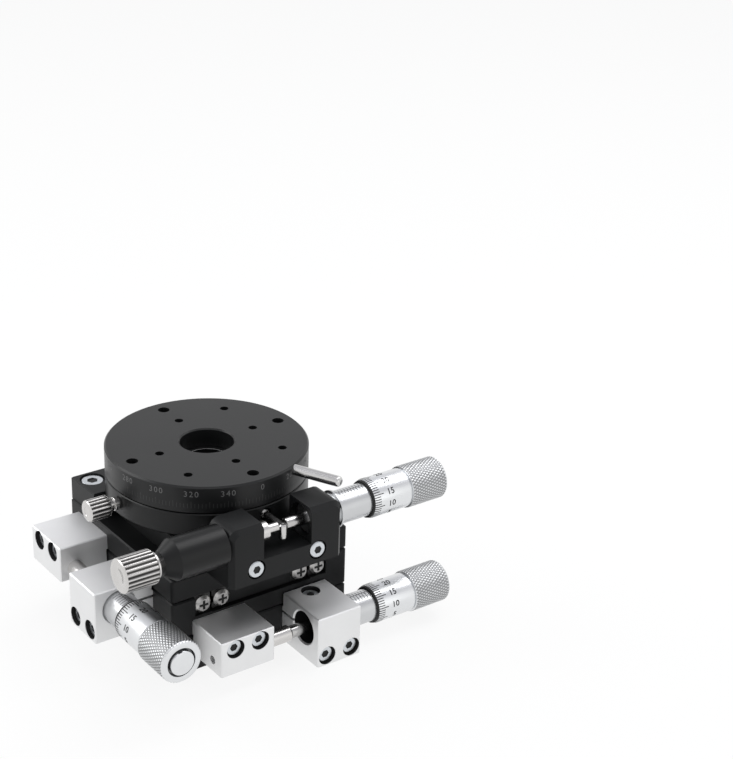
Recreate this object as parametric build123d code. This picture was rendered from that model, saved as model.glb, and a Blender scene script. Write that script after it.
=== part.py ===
from build123d import *
import os
from math import cos, pi, radians, sin, sqrt

# A three-axis manual positioning stage: two crossed-roller slides, X below and Y above,
# and a rotary table on top. Each axis is driven by a micrometer head, and each has a lock.
# Origin at the centre of the base plate's underside, +Z up, sizes in millimetres.
# The X micrometer stands on the front (-Y) face and the Y micrometer on the left (-X) face.

# Plates
plate_size = 60.0
plate_corner = 1.0
edge_break = 0.4
slab = 5.5
top_slab = 7.2
mount_hole_inset = 5.0
mount_hole_radius = 1.65
mount_hole_depth = 8.0

# Crossed-roller slides
rail_height = 6.0
rail_width = 5.6
rail_setback = 1.3
rail_inset = 13.4
rail_gap = 0.6
ledge = 0.3
plate_gap = 0.3
roller_radius = 1.0
roller_length = 1.9
roller_play = 0.03
roller_pitch = 5.5
roller_count = 7
cage_thickness = 0.3
cage_height = 4.8
cage_margin = 3.0
window_share = 0.87
travel = 6.5
relief = 0.4

# Screws: shank radius, head radius, head height
m4_shank, m4_head, m4_head_height = 2.0, 3.45, 4.0
m3_shank, m3_head, m3_head_height = 1.5, 2.55, 3.0
pan_shank, pan_head, pan_head_height = 1.25, 2.65, 1.5
m3_head_play = 0.35
m4_head_play = 0.3
head_chamfer = 0.3
head_recess = 1.1
screw_bite = 6.0
recess_share = 0.5
m3_pitch = 0.5

# Micrometer heads
head_axis_out = 10.8
head_axis_height = 9.7
sleeve_radius = 4.95
clamp_play = 0.05
sleeve_insert = 9.0
sleeve_overlap = 12.0
spindle_radius = 1.85
spindle_play = 0.05
thimble_play = 0.05
thimble_radius = 5.9
thimble_lip = 5.5
thimble_bevel = 1.4
thimble_smooth = 13.8
thimble_length = 26.8
grip_radius = 6.35
grip_groove = 0.35
grip_chamfer = 0.5
cap_recess_radius = 4.3
cap_recess = 1.6
cap_disc_radius = 3.1
cap_disc_height = 2.4
cap_disc_chamfer = 0.5
cap_hole_radius = 0.5
spindle_in_thimble = 23.0
spindle_end_room = 0.3
contact_gap = 0.05
screw_pitch = 0.5

# Micrometer head blocks
head_block_width = 15.0
head_block_depth = 18.6
head_block_height = 15.9
head_block_lift = 0.1
head_screw_height = 3.2
head_screw_spacing = 8.5
clamp_slit = 0.8
clamp_screw_out = 3.5
clamp_screw_bite = 9.0
x_block_inset = 7.8
y_block_inset = 10.8
x_sleeve_out = 7.8
y_sleeve_out = 7.3

# Anvil blocks
anvil_block_length = 17.7
anvil_block_depth = 15.5
anvil_block_low = 6.1
anvil_block_high = 17.0
anvil_screw_height = 14.0
anvil_screw_spacing = 8.2
anvil_pin_radius = 2.0
anvil_nose_radius = 2.4
anvil_pin_reach = 8.0
anvil_end_wall = 2.0
anvil_end_room = 1.0
x_anvil_inset = 6.5
y_anvil_inset = 5.0
set_hole_radius = 1.3

# Return springs and their posts
spring_radius = 1.9
spring_wire = 0.3
spring_turns = 8
spring_post_radius = 0.9
spring_post_inset = 13.0
spring_post_rise = 1.8
pocket_width = 6.0
pocket_room = 1.2

# Slide locks
lock_plate_width = 34.0
lock_plate_thickness = 2.5
lock_plate_corner = 2.5
lock_plate_bite = 7.0
lock_plate_drop = 10.4
lock_slot_width = 3.5
lock_screw_height = 5.8
lock_screw_spacing = 24.0
lock_washer_radius = 3.6
lock_washer_thickness = 0.8
lock_bite = 6.5
thumb_radius = 4.5
thumb_length = 6.0
thumb_groove_count = 24

# Rotary table
base_height = 7.2
base_inset = 7.0
lug_inset = 0.5
lug_depth = 14.3
front_screw_inset = 11.5
screw_row_inset = 5.0
boss_inset = 12.5
boss_wall = 5.0
hub_play = 0.05
boss_height = 6.0
collar_height = 1.2
collar_overhang = 2.4
collar_thread_depth = 1.0
collar_slot_count = 4
collar_slot_length = 2.4
collar_slot_width = 2.0
washer_thickness = 0.65
washer_inset = 6.0
thrust_play = 0.05
ring_height = 7.3
ring_inner_height = 5.2
ring_chamfer = 0.5
collar_room = 0.7
skirt_thickness = 1.5
skirt_length = 5.0
skirt_room = 0.3
seam = 0.3
race_inset = 4.0
ball_radius = 1.25
ball_count = 12
ball_play = 0.05
race_cage_width = 3.6
race_cage_thickness = 0.9
race_cage_room = 0.2

# Dial
dial_height = 8.3
dial_chamfer = 0.5
dial_bore_radius = 8.0
dial_bore_depth = 6.0
dial_bore_lip = 0.4
dial_through_radius = 6.5
tapped_depth = 6.0
outer_tapped_inset = 5.0
outer_tapped_radius = 1.75
inner_tapped_circle = 32.0
inner_tapped_radius = 1.3
square_tapped_pitch = 32.0
handle_radius = 1.6
handle_drop = 1.8
handle_length_out = 15.0
handle_angle = -64.0
handle_bite = 3.0
nut_overhang = 4.5
nut_height = 2.2
nut_lift = 0.5
nut_thread_depth = 1.5

# Fine rotation drive
arm_offset = 1.2
arm_radius = 0.95
arm_bite = 4.4
arm_height = 4.6
arm_seat_radius = 1.9
arm_seat_depth = 2.0
arm_nut_radius = 1.35
arm_nut_length = 1.6
turn_axis_clearance = 7.4
turn_axis_height = 4.3
arm_head_radius = 1.3
arm_head_out = 1.2
arm_head_top = 1.1
arm_head_drop = 3.9
bracket_half_width = 18.85
bracket_height = 17.8
ear_thickness = 11.4
notch_half_width = 8.0
notch_floor = 6.8
ear_corner = 3.0
ear_bevel = 1.4
bracket_screw_x = 10.3
bracket_screw_height = 4.2
bracket_screw_bite = 8.0
turn_sleeve_out = 10.9
turn_flange_radius = 5.6
turn_flange_thickness = 0.6

# Spring plunger opposite the turn micrometer
barrel_radius = 6.0
barrel_length = 15.2
barrel_cone = 3.8
barrel_end_radius = 3.4
barrel_nose_radius = 4.0
barrel_bore_radius = 4.5
barrel_bore_start = 0.7
barrel_bore_end = 14.7
plunger_radius = 2.9
plunger_shoulder_out = 4.0
plunger_nose_radius = 1.5
plunger_flange = 1.4
plunger_flange_place = 4.8
plunger_seat_place = 12.4
plunger_seat_thickness = 1.2
plunger_spring_turns = 5
plunger_spring_wire = 0.25
plunger_spring_inset = 1.2
plunger_stud_radius = 1.6
plunger_stud_length = 1.5
plunger_collar_radius = 3.9
plunger_collar_length = 0.9
plunger_knob_radius = 5.0
plunger_knob_length = 10.2
plunger_knob_groove_count = 22
slide_play = 0.05

# Clamp knob on the ring
clamp_height = 3.9
clamp_y = 0.0
clamp_pad_length = 1.9
clamp_stem_gap = 0.4
clamp_stem_length = 2.9
clamp_stem_radius = 2.0
clamp_stem_groove = 0.5
clamp_knob_length = 6.8
clamp_knob_radius = 3.3
clamp_knob_groove_count = 18
groove_depth = 0.35

# Places and heights that follow from the sizes above
half_plate = plate_size / 2
mount_hole_pitch = plate_size - 2 * mount_hole_inset
rail_length = plate_size - 2 * rail_setback
rail_centre = half_plate - rail_inset
spring_post_place = half_plate - spring_post_inset
base_half_width = half_plate - base_inset
lug_half_width = half_plate - lug_inset
lug_start = half_plate - lug_depth
front_screw_x = half_plate - front_screw_inset
screw_row = half_plate - screw_row_inset
x_block_start = half_plate - x_block_inset - head_block_width
y_block_start = half_plate - y_block_inset - head_block_width
x_anvil_start = half_plate - x_anvil_inset - anvil_block_length
y_anvil_start = half_plate - y_anvil_inset - anvil_block_length
ring_radius = half_plate
boss_radius = ring_radius - boss_inset
hub_radius = boss_radius - boss_wall
collar_radius = boss_radius + collar_overhang
collar_thread_radius = boss_radius - collar_thread_depth
skirt_inner = collar_radius + collar_room
skirt_outer = skirt_inner + skirt_thickness
nut_radius = hub_radius + nut_overhang
nut_thread_radius = hub_radius - nut_thread_depth
washer_radius = ring_radius - washer_inset
race_radius = ring_radius - race_inset
outer_tapped_out = ring_radius - outer_tapped_inset
handle_reach = ring_radius + handle_length_out
turn_axis_out = ring_radius + turn_axis_clearance
arm_head_reach = turn_axis_out + arm_head_out
clamp_stem_start = ring_radius + clamp_stem_gap
clamp_knob_start = clamp_stem_start + clamp_stem_length
rail_drop = rail_height / 2
base_floor = slab
x_rail_z = base_floor + ledge + rail_drop
base_top = x_rail_z + rail_drop
middle_bottom = base_top + plate_gap
stage_step = middle_bottom
y_rail_z = x_rail_z + stage_step
middle_top = base_top + stage_step
top_bottom = middle_bottom + stage_step
top_z = top_bottom + top_slab
rotary_top = top_z + base_height
ring_bottom = rotary_top + washer_thickness + thrust_play
ring_top = ring_bottom + ring_height
dial_bottom = ring_top + seam
dial_top = dial_bottom + dial_height
boss_top = rotary_top + boss_height
race_z = (ring_top + dial_bottom) / 2
turn_axis_z = ring_bottom + turn_axis_height
clamp_z = ring_bottom + clamp_height
channel_half = rail_centre + rail_gap / 2 + rail_width
boss_half = rail_centre - rail_gap / 2 - rail_width


def turned(*outline):
    """A turned piece: a closed outline of radius and height points, spun about Z."""
    return revolve(make_face(Plane.XZ * Polyline(*outline, close=True)), Axis.Z)


def box(low, high):
    """A block between its lowest and highest corners."""
    size = [high[i] - low[i] for i in range(3)]
    middle = [(high[i] + low[i]) / 2 for i in range(3)]
    return Pos(*middle) * Box(*size)


def rod(radius, low, high):
    """A round bar on the Z axis between two heights."""
    return Pos(0, 0, (low + high) / 2) * Cylinder(radius, high - low)


def facing(direction):
    """The turn that points a piece's own Z axis along a row axis."""
    turns = {
        "+X": Rot(0, 90, 0),
        "-X": Rot(0, -90, 0),
        "+Y": Rot(-90, 0, 0),
        "-Y": Rot(90, 0, 0),
        "+Z": Rot(0, 0, 0),
    }
    return turns[direction]


def bar(radius, direction, start, length):
    """A round bar that starts at a point and runs along a row axis."""
    return Pos(*start) * facing(direction) * rod(radius, 0, length)


def group(pieces):
    """Separate solids of one kind, kept in one node."""
    return Compound(children=list(pieces))


def to_y(piece):
    """Carries a piece of the X slide over to the same place on the Y slide."""
    return Pos(0, 0, stage_step) * Rot(0, 0, -90) * piece


def socket_screw(shank, head, head_height, length):
    """A socket head cap screw, its head standing on the plane Z = 0."""
    body = turned(
        (0, -length), (shank, -length), (shank, 0), (head, 0), (head, head_height - head_chamfer),
        (head - head_chamfer, head_height), (0, head_height)
    )
    hexagon = extrude(RegularPolygon(head * recess_share, 6), head_height)
    return body - Pos(0, 0, head_height * recess_share) * hexagon


def pan_screw(length):
    """A pan head screw with a cross recess, its head standing on the plane Z = 0."""
    half = pan_head_height / 2
    head = turned(
        (0, 0), (pan_head, 0), (pan_head, half), (pan_head * 0.7, pan_head_height), (0, pan_head_height)
    )
    slot = Box(pan_head * 1.1, pan_head * 0.3, pan_head_height)
    cross = slot + Rot(0, 0, 90) * slot
    return head + rod(pan_shank, -length, 0) - Pos(0, 0, pan_head_height + half * 0.4) * cross


def grooved_knob(radius, length, grooves):
    """A knob with straight grooves round it, from Z = 0 to its length."""
    low = radius - edge_break
    points = []
    for step in range(grooves):
        for share, depth in ((0.0, 0.0), (0.5, 0.0), (0.75, groove_depth)):
            angle = 2 * pi * (step + share) / grooves
            points.append(((radius - depth) * cos(angle), (radius - depth) * sin(angle)))
    grip = extrude(make_face(Polyline(*points, close=True)), length)
    envelope = turned(
        (0, 0), (low, 0), (radius, edge_break), (radius, length - edge_break), (low, length), (0, length)
    )
    return grip & envelope


def coil(radius, wire, length, turns):
    """A coil spring on the Z axis from Z = 0 to its length."""
    path = Helix(pitch=(length - 2 * wire) / turns, height=length - 2 * wire, radius=radius)
    section = Plane(origin=path @ 0, z_dir=path % 0) * Circle(wire)
    return Pos(0, 0, wire) * sweep(section, path=path)


def plate(low, high):
    """A square plate with rounded corners and broken edges."""
    body = extrude(RectangleRounded(plate_size, plate_size, plate_corner), high - low)
    body = chamfer(body.faces().filter_by(Axis.Z).edges(), edge_break)
    return Pos(0, 0, low) * body


def slide_cuts():
    """The channel along X for the rails and the upper plate's boss, and the slide lock's tapped hole."""
    run = half_plate + 1
    cut = box((-run, -channel_half, base_floor), (run, channel_half, base_top + 1))
    for side in (-1, 1):
        near, far = sorted((side * (channel_half - rail_width), side * channel_half))
        cut -= box((-run, near, base_floor), (run, far, base_floor + ledge))
    return cut + bar(m3_shank + slide_play, "-Y", (0, half_plate + 1, lock_screw_height), lock_bite + 1)


def slide_boss(bottom, under):
    """The boss along X under an upper plate, with the two lands its rails hang from."""
    half = rail_length / 2
    body = box((-half, -boss_half, bottom), (half, boss_half, under))
    for side in (-1, 1):
        near, far = sorted((side * boss_half, side * (boss_half + rail_width)))
        body += box((-half, near, under - ledge), (half, far, under))
    pocket_low = -spring_post_place - spring_post_radius - travel - pocket_room
    pocket_high = spring_post_place - spring_post_radius
    ceiling = bottom + 2 * (spring_radius + spring_wire) + pocket_room
    body -= box((pocket_low, -pocket_width / 2, bottom - 1), (pocket_high, pocket_width / 2, ceiling))
    return body


def spring_post():
    """The post that holds the fixed end of the return spring."""
    return Pos(-spring_post_place, 0, 0) * rod(spring_post_radius, base_floor, x_rail_z + spring_post_rise)


def base_plate():
    body = plate(0, base_top) - slide_cuts() + spring_post()
    for x in (-1, 1):
        for y in (-1, 1):
            place = Pos(x * mount_hole_pitch / 2, y * mount_hole_pitch / 2, 0)
            body -= place * rod(mount_hole_radius, 0, mount_hole_depth)
    return body - block_screw_holes(x_block_start, 0)


def middle_plate():
    body = plate(middle_bottom, middle_top) - to_y(slide_cuts()) + to_y(spring_post())
    body += slide_boss(x_rail_z - rail_drop, middle_bottom)
    body -= to_y(block_screw_holes(y_block_start, 0))
    body -= anvil_screw_holes(x_anvil_start)
    return body - lock_plate_screw_holes()


def top_plate():
    body = plate(top_bottom, top_z)
    body += to_y(slide_boss(x_rail_z - rail_drop, middle_bottom))
    body -= to_y(anvil_screw_holes(y_anvil_start))
    body -= to_y(lock_plate_screw_holes())
    for x, y in rotary_screw_places():
        body -= Pos(x, y, top_z) * rod(m4_shank, -screw_bite + 1, 1)
    return body


def rail(side, moving):
    """One ground rail along X with its vee groove towards the rollers."""
    face = rail_gap / 2
    apex = (roller_radius + roller_play) * sqrt(2)
    mouth = apex - face
    outline = [
        (face, -rail_drop), (face + rail_width, -rail_drop), (face + rail_width, rail_drop),
        (face, rail_drop),
        (face, mouth), (apex, 0), (face, -mouth)
    ]
    direction = -1 if moving else 1
    points = [(side * (rail_centre + direction * y), x_rail_z + z) for y, z in outline]
    body = extrude(make_face(Plane.YZ * Polyline(*points, close=True)), rail_length / 2, both=True)
    y = side * (rail_centre + direction * (face + rail_width / 2))
    for end, way in ((1, "+X"), (-1, "-X")):
        hole = bar(pan_shank, way, (end * (rail_length / 2 - screw_bite), y, x_rail_z), screw_bite + 1)
        body -= hole
    return body


def rail_screws(moving):
    """The cross-recess screws that close both ends of a pair of rails."""
    direction = -1 if moving else 1
    screws = []
    for side in (-1, 1):
        y = side * (rail_centre + direction * (rail_gap + rail_width) / 2)
        for end, way in ((1, "+X"), (-1, "-X")):
            place = Pos(end * rail_length / 2, y, x_rail_z) * facing(way)
            screws.append(place * pan_screw(screw_bite))
    return screws


def roller_places():
    middle = (roller_count - 1) / 2
    return [(index - middle) * roller_pitch for index in range(roller_count)]


def roller_cage(side):
    """A thin strip between the rails with a window for each roller."""
    half = roller_places()[-1] + cage_margin
    y = side * rail_centre
    body = Pos(0, y, x_rail_z) * Box(2 * half, cage_thickness, cage_height)
    window = Box(2 * roller_radius + rail_gap / 2, 2 * cage_thickness, 2 * roller_length * window_share)
    for x in roller_places():
        body -= Pos(x, y, x_rail_z) * window
    return body


def rollers(side):
    """Rollers that lean left and right in turn between the two vee grooves."""
    bodies = []
    for index, x in enumerate(roller_places()):
        lean = 45 if index % 2 else -45
        roller = Cylinder(roller_radius, roller_length)
        bodies.append(Pos(x, side * rail_centre, x_rail_z) * Rot(lean, 0, 0) * roller)
    return bodies


def block_screw_places(start):
    middle = start + head_block_width / 2
    return [middle - head_screw_spacing / 2, middle + head_screw_spacing / 2]


def block_screw_holes(start, lift):
    """Tapped holes in a plate's front face for a micrometer head block."""
    holes = [
        bar(m3_shank, "+Y", (x, -half_plate - 1, head_screw_height + lift), screw_bite + 1)
        for x in block_screw_places(start)
    ]
    return holes[0] + holes[1]


def broken_block(body):
    """Breaks a block's front and top edges and leaves its lower edges sharp."""
    front = body.faces().sort_by(Axis.Y)[0].edges().sort_by(Axis.Z)[1:]
    top = body.edges().filter_by(Axis.Y).group_by(Axis.Z)[-1]
    return chamfer(front + top, head_chamfer)


def head_block(start):
    """The clamping block of a micrometer head: bore, slit, clamp screw hole and two fixing screws."""
    front = -half_plate - head_block_depth
    end = start + head_block_width
    axis_y = -half_plate - head_axis_out
    top = head_block_lift + head_block_height
    body = box((start, front, head_block_lift), (end, -half_plate, top))
    body = broken_block(body)
    body -= box((start - 1, -half_plate - relief, base_top - plate_gap), (end + 1, 1 - half_plate, top + 1))
    bore = sleeve_radius + clamp_play
    body -= bar(bore, "+X", (start - 1, axis_y, head_axis_height), head_block_width + 2)
    mouth = turned(
        (0, -1), (bore + edge_break, -1), (bore + edge_break, 0), (bore, edge_break), (0, edge_break)
    )
    body -= Pos(start, axis_y, head_axis_height) * facing("+X") * mouth
    body -= Pos(end, axis_y, head_axis_height) * facing("-X") * mouth
    slit_low = head_axis_height - clamp_slit / 2
    body -= box((start - 1, axis_y, slit_low), (end + 1, 1 - half_plate, slit_low + clamp_slit))
    clamp = rod(m3_head + m3_head_play, -m3_head_height - head_recess, 1)
    clamp += rod(m3_shank, -m3_head_height - head_recess - clamp_screw_bite, 0)
    body -= Pos((start + end) / 2, -half_plate - clamp_screw_out, top) * clamp
    for x in block_screw_places(start):
        place = (x, front - 1, head_screw_height)
        body -= bar(m3_head + m3_head_play, "+Y", place, m3_head_height + head_recess + 1)
        body -= bar(m3_shank, "+Y", place, head_block_depth + 2)
    return body


def head_block_screws(start):
    """The two fixing screws and the clamp screw of a micrometer head block."""
    front = -half_plate - head_block_depth
    seat = front + m3_head_height + head_recess
    length = -half_plate + screw_bite - seat
    screws = []
    for x in block_screw_places(start):
        screw = socket_screw(m3_shank, m3_head, m3_head_height, length)
        screws.append(Pos(x, seat, head_screw_height) * facing("-Y") * screw)
    top = head_block_lift + head_block_height - m3_head_height - head_recess
    clamp = socket_screw(m3_shank, m3_head, m3_head_height, clamp_screw_bite)
    screws.append(Pos(start + head_block_width / 2, -half_plate - clamp_screw_out, top) * clamp)
    return screws


def anvil_screw_places(start):
    middle = -start - anvil_block_length / 2
    return [middle - anvil_screw_spacing / 2, middle + anvil_screw_spacing / 2]


def anvil_screw_holes(start):
    """Tapped holes in a plate's front face for an anvil block."""
    holes = [
        bar(m3_shank, "+Y", (x, -half_plate - 1, anvil_screw_height), screw_bite + 1)
        for x in anvil_screw_places(start)
    ]
    return holes[0] + holes[1]


def anvil_block(start):
    """The block that carries the anvil pin which the spindle pushes on."""
    front = -half_plate - anvil_block_depth
    low_x = -start - anvil_block_length
    body = box((low_x, front, anvil_block_low), (-start, -half_plate, anvil_block_high))
    body = broken_block(body)
    low = (low_x - 1, -half_plate - relief, anvil_block_low - 1)
    body -= box(low, (1 - start, 1 - half_plate, middle_bottom + plate_gap))
    axis = (-start + 1, -half_plate - head_axis_out, head_axis_height)
    body -= bar(anvil_pin_radius, "-X", axis, anvil_block_length - anvil_end_wall + 1)
    body -= bar(set_hole_radius, "-X", axis, anvil_block_length + 2)
    for x in anvil_screw_places(start):
        place = (x, front - 1, anvil_screw_height)
        body -= bar(m3_head + m3_head_play, "+Y", place, m3_head_height + head_recess + 1)
        body -= bar(m3_shank, "+Y", place, anvil_block_depth + 2)
    return body


def anvil_screws(start):
    seat = -half_plate - anvil_block_depth + m3_head_height + head_recess
    length = screw_bite - half_plate - seat
    screws = []
    for x in anvil_screw_places(start):
        screw = socket_screw(m3_shank, m3_head, m3_head_height, length)
        screws.append(Pos(x, seat, anvil_screw_height) * facing("-Y") * screw)
    return screws


def anvil_pin(start):
    """The hardened pin that the micrometer spindle bears on."""
    inside = anvil_block_length - anvil_end_wall - anvil_end_room
    pin = rod(anvil_pin_radius, -inside, 0) + turned(
        (0, 0), (anvil_nose_radius, 0), (anvil_nose_radius, anvil_pin_reach - edge_break),
        (anvil_nose_radius - edge_break, anvil_pin_reach), (0, anvil_pin_reach)
    )
    return Pos(-start, -half_plate - head_axis_out, head_axis_height) * facing("+X") * pin


def sleeve(out):
    """The graduated sleeve, from inside its block (below Z = 0) to inside the thimble."""
    inner = spindle_radius + spindle_play
    low = -sleeve_insert
    high = out + sleeve_overlap
    return turned(
        (inner, low), (sleeve_radius - edge_break, low), (sleeve_radius, low + edge_break),
        (sleeve_radius, high), (inner, high)
    )


def turn_sleeve():
    """The fine drive's sleeve, with the flange that seats on the bracket's ear."""
    flange = rod(turn_flange_radius, 0, turn_flange_thickness)
    flange -= rod(sleeve_radius, -1, turn_flange_thickness + 1)
    return on_turn_axis(sleeve(turn_sleeve_out) + flange, bracket_half_width, "+X")


def thimble(out):
    """The thimble: bevelled edge, smooth scale, grip and a recessed end cap."""
    start = out
    grip = start + thimble_smooth
    end = start + thimble_length
    bore = sleeve_radius + thimble_play
    bore_end = start + sleeve_overlap + travel + spindle_end_room
    hole = spindle_radius + spindle_play
    hole_end = start + spindle_in_thimble + spindle_end_room
    recess = end - cap_recess
    cap = recess + cap_disc_height
    body = turned(
        (bore, start), (thimble_lip, start), (thimble_radius, start + thimble_bevel), (thimble_radius, grip),
        (grip_radius - grip_groove, grip), (grip_radius, grip + grip_chamfer),
        (grip_radius, end - grip_chamfer),
        (grip_radius - grip_chamfer, end), (cap_recess_radius, end), (cap_recess_radius, recess),
        (cap_disc_radius, recess), (cap_disc_radius, cap - cap_disc_chamfer),
        (cap_disc_radius - cap_disc_chamfer, cap), (0, cap), (0, hole_end), (hole, hole_end),
        (hole, bore_end), (bore, bore_end)
    )
    wrench_hole = Rot(0, 90, 0) * Cylinder(cap_hole_radius, 2 * cap_disc_radius + 1)
    return body - Pos(0, 0, (end + cap) / 2) * wrench_hole


def spindle(out, reach):
    """The ground spindle, from its tip (below Z = 0) to its end inside the thimble."""
    end = out + spindle_in_thimble
    return turned(
        (0, -reach), (spindle_radius - edge_break / 2, -reach), (spindle_radius, edge_break / 2 - reach),
        (spindle_radius, end), (0, end)
    )


def on_head(piece, start):
    """Puts a piece made about Z on the axis of a micrometer head block, Z = 0 on its outer face."""
    place = Pos(start + head_block_width, -half_plate - head_axis_out, head_axis_height)
    return place * facing("+X") * piece


def head_reach(start, anvil_start):
    """How far the spindle tip stands behind the outer face of the head block."""
    return head_block_width + start + anvil_start - anvil_pin_reach - contact_gap


def lock_plate_screw_holes():
    """Tapped holes in the upper plate's back face for the lock plate."""
    z = middle_bottom + slab / 2
    holes = [
        bar(pan_shank, "-Y", (side * lock_screw_spacing / 2, half_plate + 1, z), screw_bite)
        for side in (-1, 1)
    ]
    return holes[0] + holes[1]


def lock_plate():
    """The slotted plate that hangs from the upper plate's back face over the plate below."""
    near = half_plate
    far = half_plate + lock_plate_thickness
    half = lock_plate_width / 2
    low = middle_bottom - lock_plate_drop
    high = middle_bottom + slab
    body = box((-half, near, low), (half, far, high))
    body = fillet(body.edges().filter_by(Axis.Y), lock_plate_corner)
    body -= box((-half - 1, near - 1, low - 1), (half + 1, near + relief / 2, middle_bottom - plate_gap / 2))
    slot = extrude(SlotOverall(2 * travel + lock_slot_width, lock_slot_width), lock_plate_thickness + 2)
    body -= Pos(0, near - 1, lock_screw_height) * facing("+Y") * slot
    for side in (-1, 1):
        place = (side * lock_screw_spacing / 2, near - 1, middle_bottom + slab / 2)
        body -= bar(pan_shank, "+Y", place, lock_plate_thickness + 2)
    return body


def lock_plate_screws():
    z = middle_bottom + slab / 2
    length = lock_plate_bite
    screws = []
    for side in (-1, 1):
        place = Pos(side * lock_screw_spacing / 2, half_plate + lock_plate_thickness, z)
        screws.append(place * facing("+Y") * pan_screw(length))
    return screws


def lock_washer():
    """The washer under the thumb screw of a slide lock."""
    place = Pos(0, half_plate + lock_plate_thickness + contact_gap, lock_screw_height)
    ring = rod(lock_washer_radius, 0, lock_washer_thickness)
    ring -= rod(m3_shank + slide_play, -1, lock_washer_thickness + 1)
    return place * facing("+Y") * ring


def lock_screw():
    """The knurled thumb screw of a slide lock."""
    under = half_plate + lock_plate_thickness + 2 * contact_gap + lock_washer_thickness
    length = under - half_plate + lock_bite - 2 * m3_pitch
    screw = grooved_knob(thumb_radius, thumb_length, thumb_groove_count) + rod(m3_shank, -length, 0)
    return Pos(0, under, lock_screw_height) * facing("+Y") * screw


def return_spring():
    """The spring that keeps the anvil against the spindle, in the pocket of the boss."""
    length = 2 * (spring_post_place - spring_post_radius)
    z = x_rail_z - rail_drop + spring_radius + spring_wire + pocket_room / 2
    wound = coil(spring_radius, spring_wire, length, spring_turns)
    return Pos(-length / 2, 0, z) * facing("+X") * wound


def rotary_screw_places():
    places = [(side * screw_row, screw_row) for side in (-1, 1)]
    places += [(side * front_screw_x, -screw_row) for side in (-1, 1)]
    return places


def rotary_base():
    """The fixed part of the rotary table: a body with two rear lugs and an upright boss."""
    rear = half_plate - edge_break / 2
    outline = [
        (-base_half_width, -half_plate), (base_half_width, -half_plate), (base_half_width, lug_start),
        (lug_half_width, lug_start), (lug_half_width, rear), (-lug_half_width, rear),
        (-lug_half_width, lug_start), (-base_half_width, lug_start)
    ]
    body = extrude(make_face(Polyline(*outline, close=True)), base_height)
    body = Pos(0, 0, top_z) * chamfer(body.faces().sort_by(Axis.Z)[-1].edges(), edge_break)
    body += rod(boss_radius, rotary_top, boss_top)
    body += rod(collar_thread_radius, boss_top, boss_top + collar_height)
    body -= rod(hub_radius + hub_play, top_z - 1, boss_top + collar_height + 1)
    body -= rod(nut_radius + relief, top_z - 1, top_z + nut_lift + nut_height + thrust_play)
    for x, y in rotary_screw_places():
        seat = rotary_top - m4_head_height - edge_break
        hole = rod(m4_head + m4_head_play, 0, m4_head_height + 1) + rod(m4_shank, -base_height, 0)
        body -= Pos(x, y, seat) * hole
    for x in (-bracket_screw_x, bracket_screw_x):
        hole = bar(m3_shank, "+Y", (x, -half_plate - 1, top_z + bracket_screw_height), bracket_screw_bite + 1)
        body -= hole
    return body


def rotary_base_screws():
    seat = rotary_top - m4_head_height - edge_break
    length = seat - top_z + screw_bite - 1
    screw = socket_screw(m4_shank, m4_head, m4_head_height, length)
    return [Pos(x, y, seat) * screw for x, y in rotary_screw_places()]


def thrust_washer():
    inner = boss_radius + relief
    body = rod(washer_radius, rotary_top, rotary_top + washer_thickness)
    return body - rod(inner, rotary_top - 1, ring_top)


def ring_collar():
    """The slotted collar on the boss that holds the ring down."""
    body = rod(collar_radius, boss_top, boss_top + collar_height)
    body -= rod(collar_thread_radius, boss_top - 1, boss_top + collar_height + 1)
    slot = Box(collar_slot_length, collar_slot_width, collar_height)
    for index in range(collar_slot_count):
        turn = Rot(0, 0, index * 360 / collar_slot_count)
        body -= turn * Pos(collar_radius, 0, boss_top + collar_height) * slot
    return body


def fine_ring():
    """The ring that the tangent arm turns through a few degrees and the dial is clamped to."""
    inner = boss_radius + hub_play
    inner_top = ring_bottom + ring_inner_height
    groove_inner = skirt_inner - skirt_room
    groove_outer = skirt_outer + skirt_room
    groove_floor = dial_bottom - skirt_length - relief
    body = turned(
        (inner, ring_bottom), (ring_radius - ring_chamfer, ring_bottom),
        (ring_radius, ring_bottom + ring_chamfer),
        (ring_radius, ring_top - ring_chamfer / 2), (ring_radius - ring_chamfer / 2, ring_top),
        (groove_outer, ring_top), (groove_outer, groove_floor), (groove_inner, groove_floor),
        (groove_inner, inner_top), (inner, inner_top)
    )
    body -= race(-1)
    body -= bar(m3_shank, "-X", (-skirt_outer, clamp_y, clamp_z), ring_radius)
    z = ring_bottom + arm_height
    body -= bar(arm_radius, "-Y", (arm_offset, -ring_radius + arm_bite, z), arm_bite)
    body -= bar(arm_seat_radius, "-Y", (arm_offset, -ring_radius + arm_seat_depth, z), arm_seat_depth + 1)
    return body


def race(side):
    """The ball groove and the room for the ball cage, below (-1) or above (1) the seam."""
    groove = Pos(0, 0, race_z) * Torus(race_radius, ball_radius + ball_play)
    half = race_cage_thickness / 2 + race_cage_room
    width = race_cage_width / 2 + race_cage_room
    low, high = sorted((race_z, race_z + side * half))
    room = rod(race_radius + width, low, high) - rod(race_radius - width, low - 1, high + 1)
    return groove + room


def ball_angles():
    return [360 * (index + 0.5) / ball_count for index in range(ball_count)]


def ball_cage():
    """The flat ring that keeps the balls apart."""
    half = race_cage_thickness / 2
    width = race_cage_width / 2
    body = rod(race_radius + width, race_z - half, race_z + half)
    body -= rod(race_radius - width, race_z - 1, race_z + 1)
    for angle in ball_angles():
        body -= Rot(0, 0, angle) * Pos(race_radius, 0, race_z) * Cylinder(ball_radius + 2 * ball_play, 2)
    return body


def bearing_balls():
    ball = Pos(race_radius, 0, race_z) * Sphere(ball_radius)
    return [Rot(0, 0, angle) * ball for angle in ball_angles()]


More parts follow.
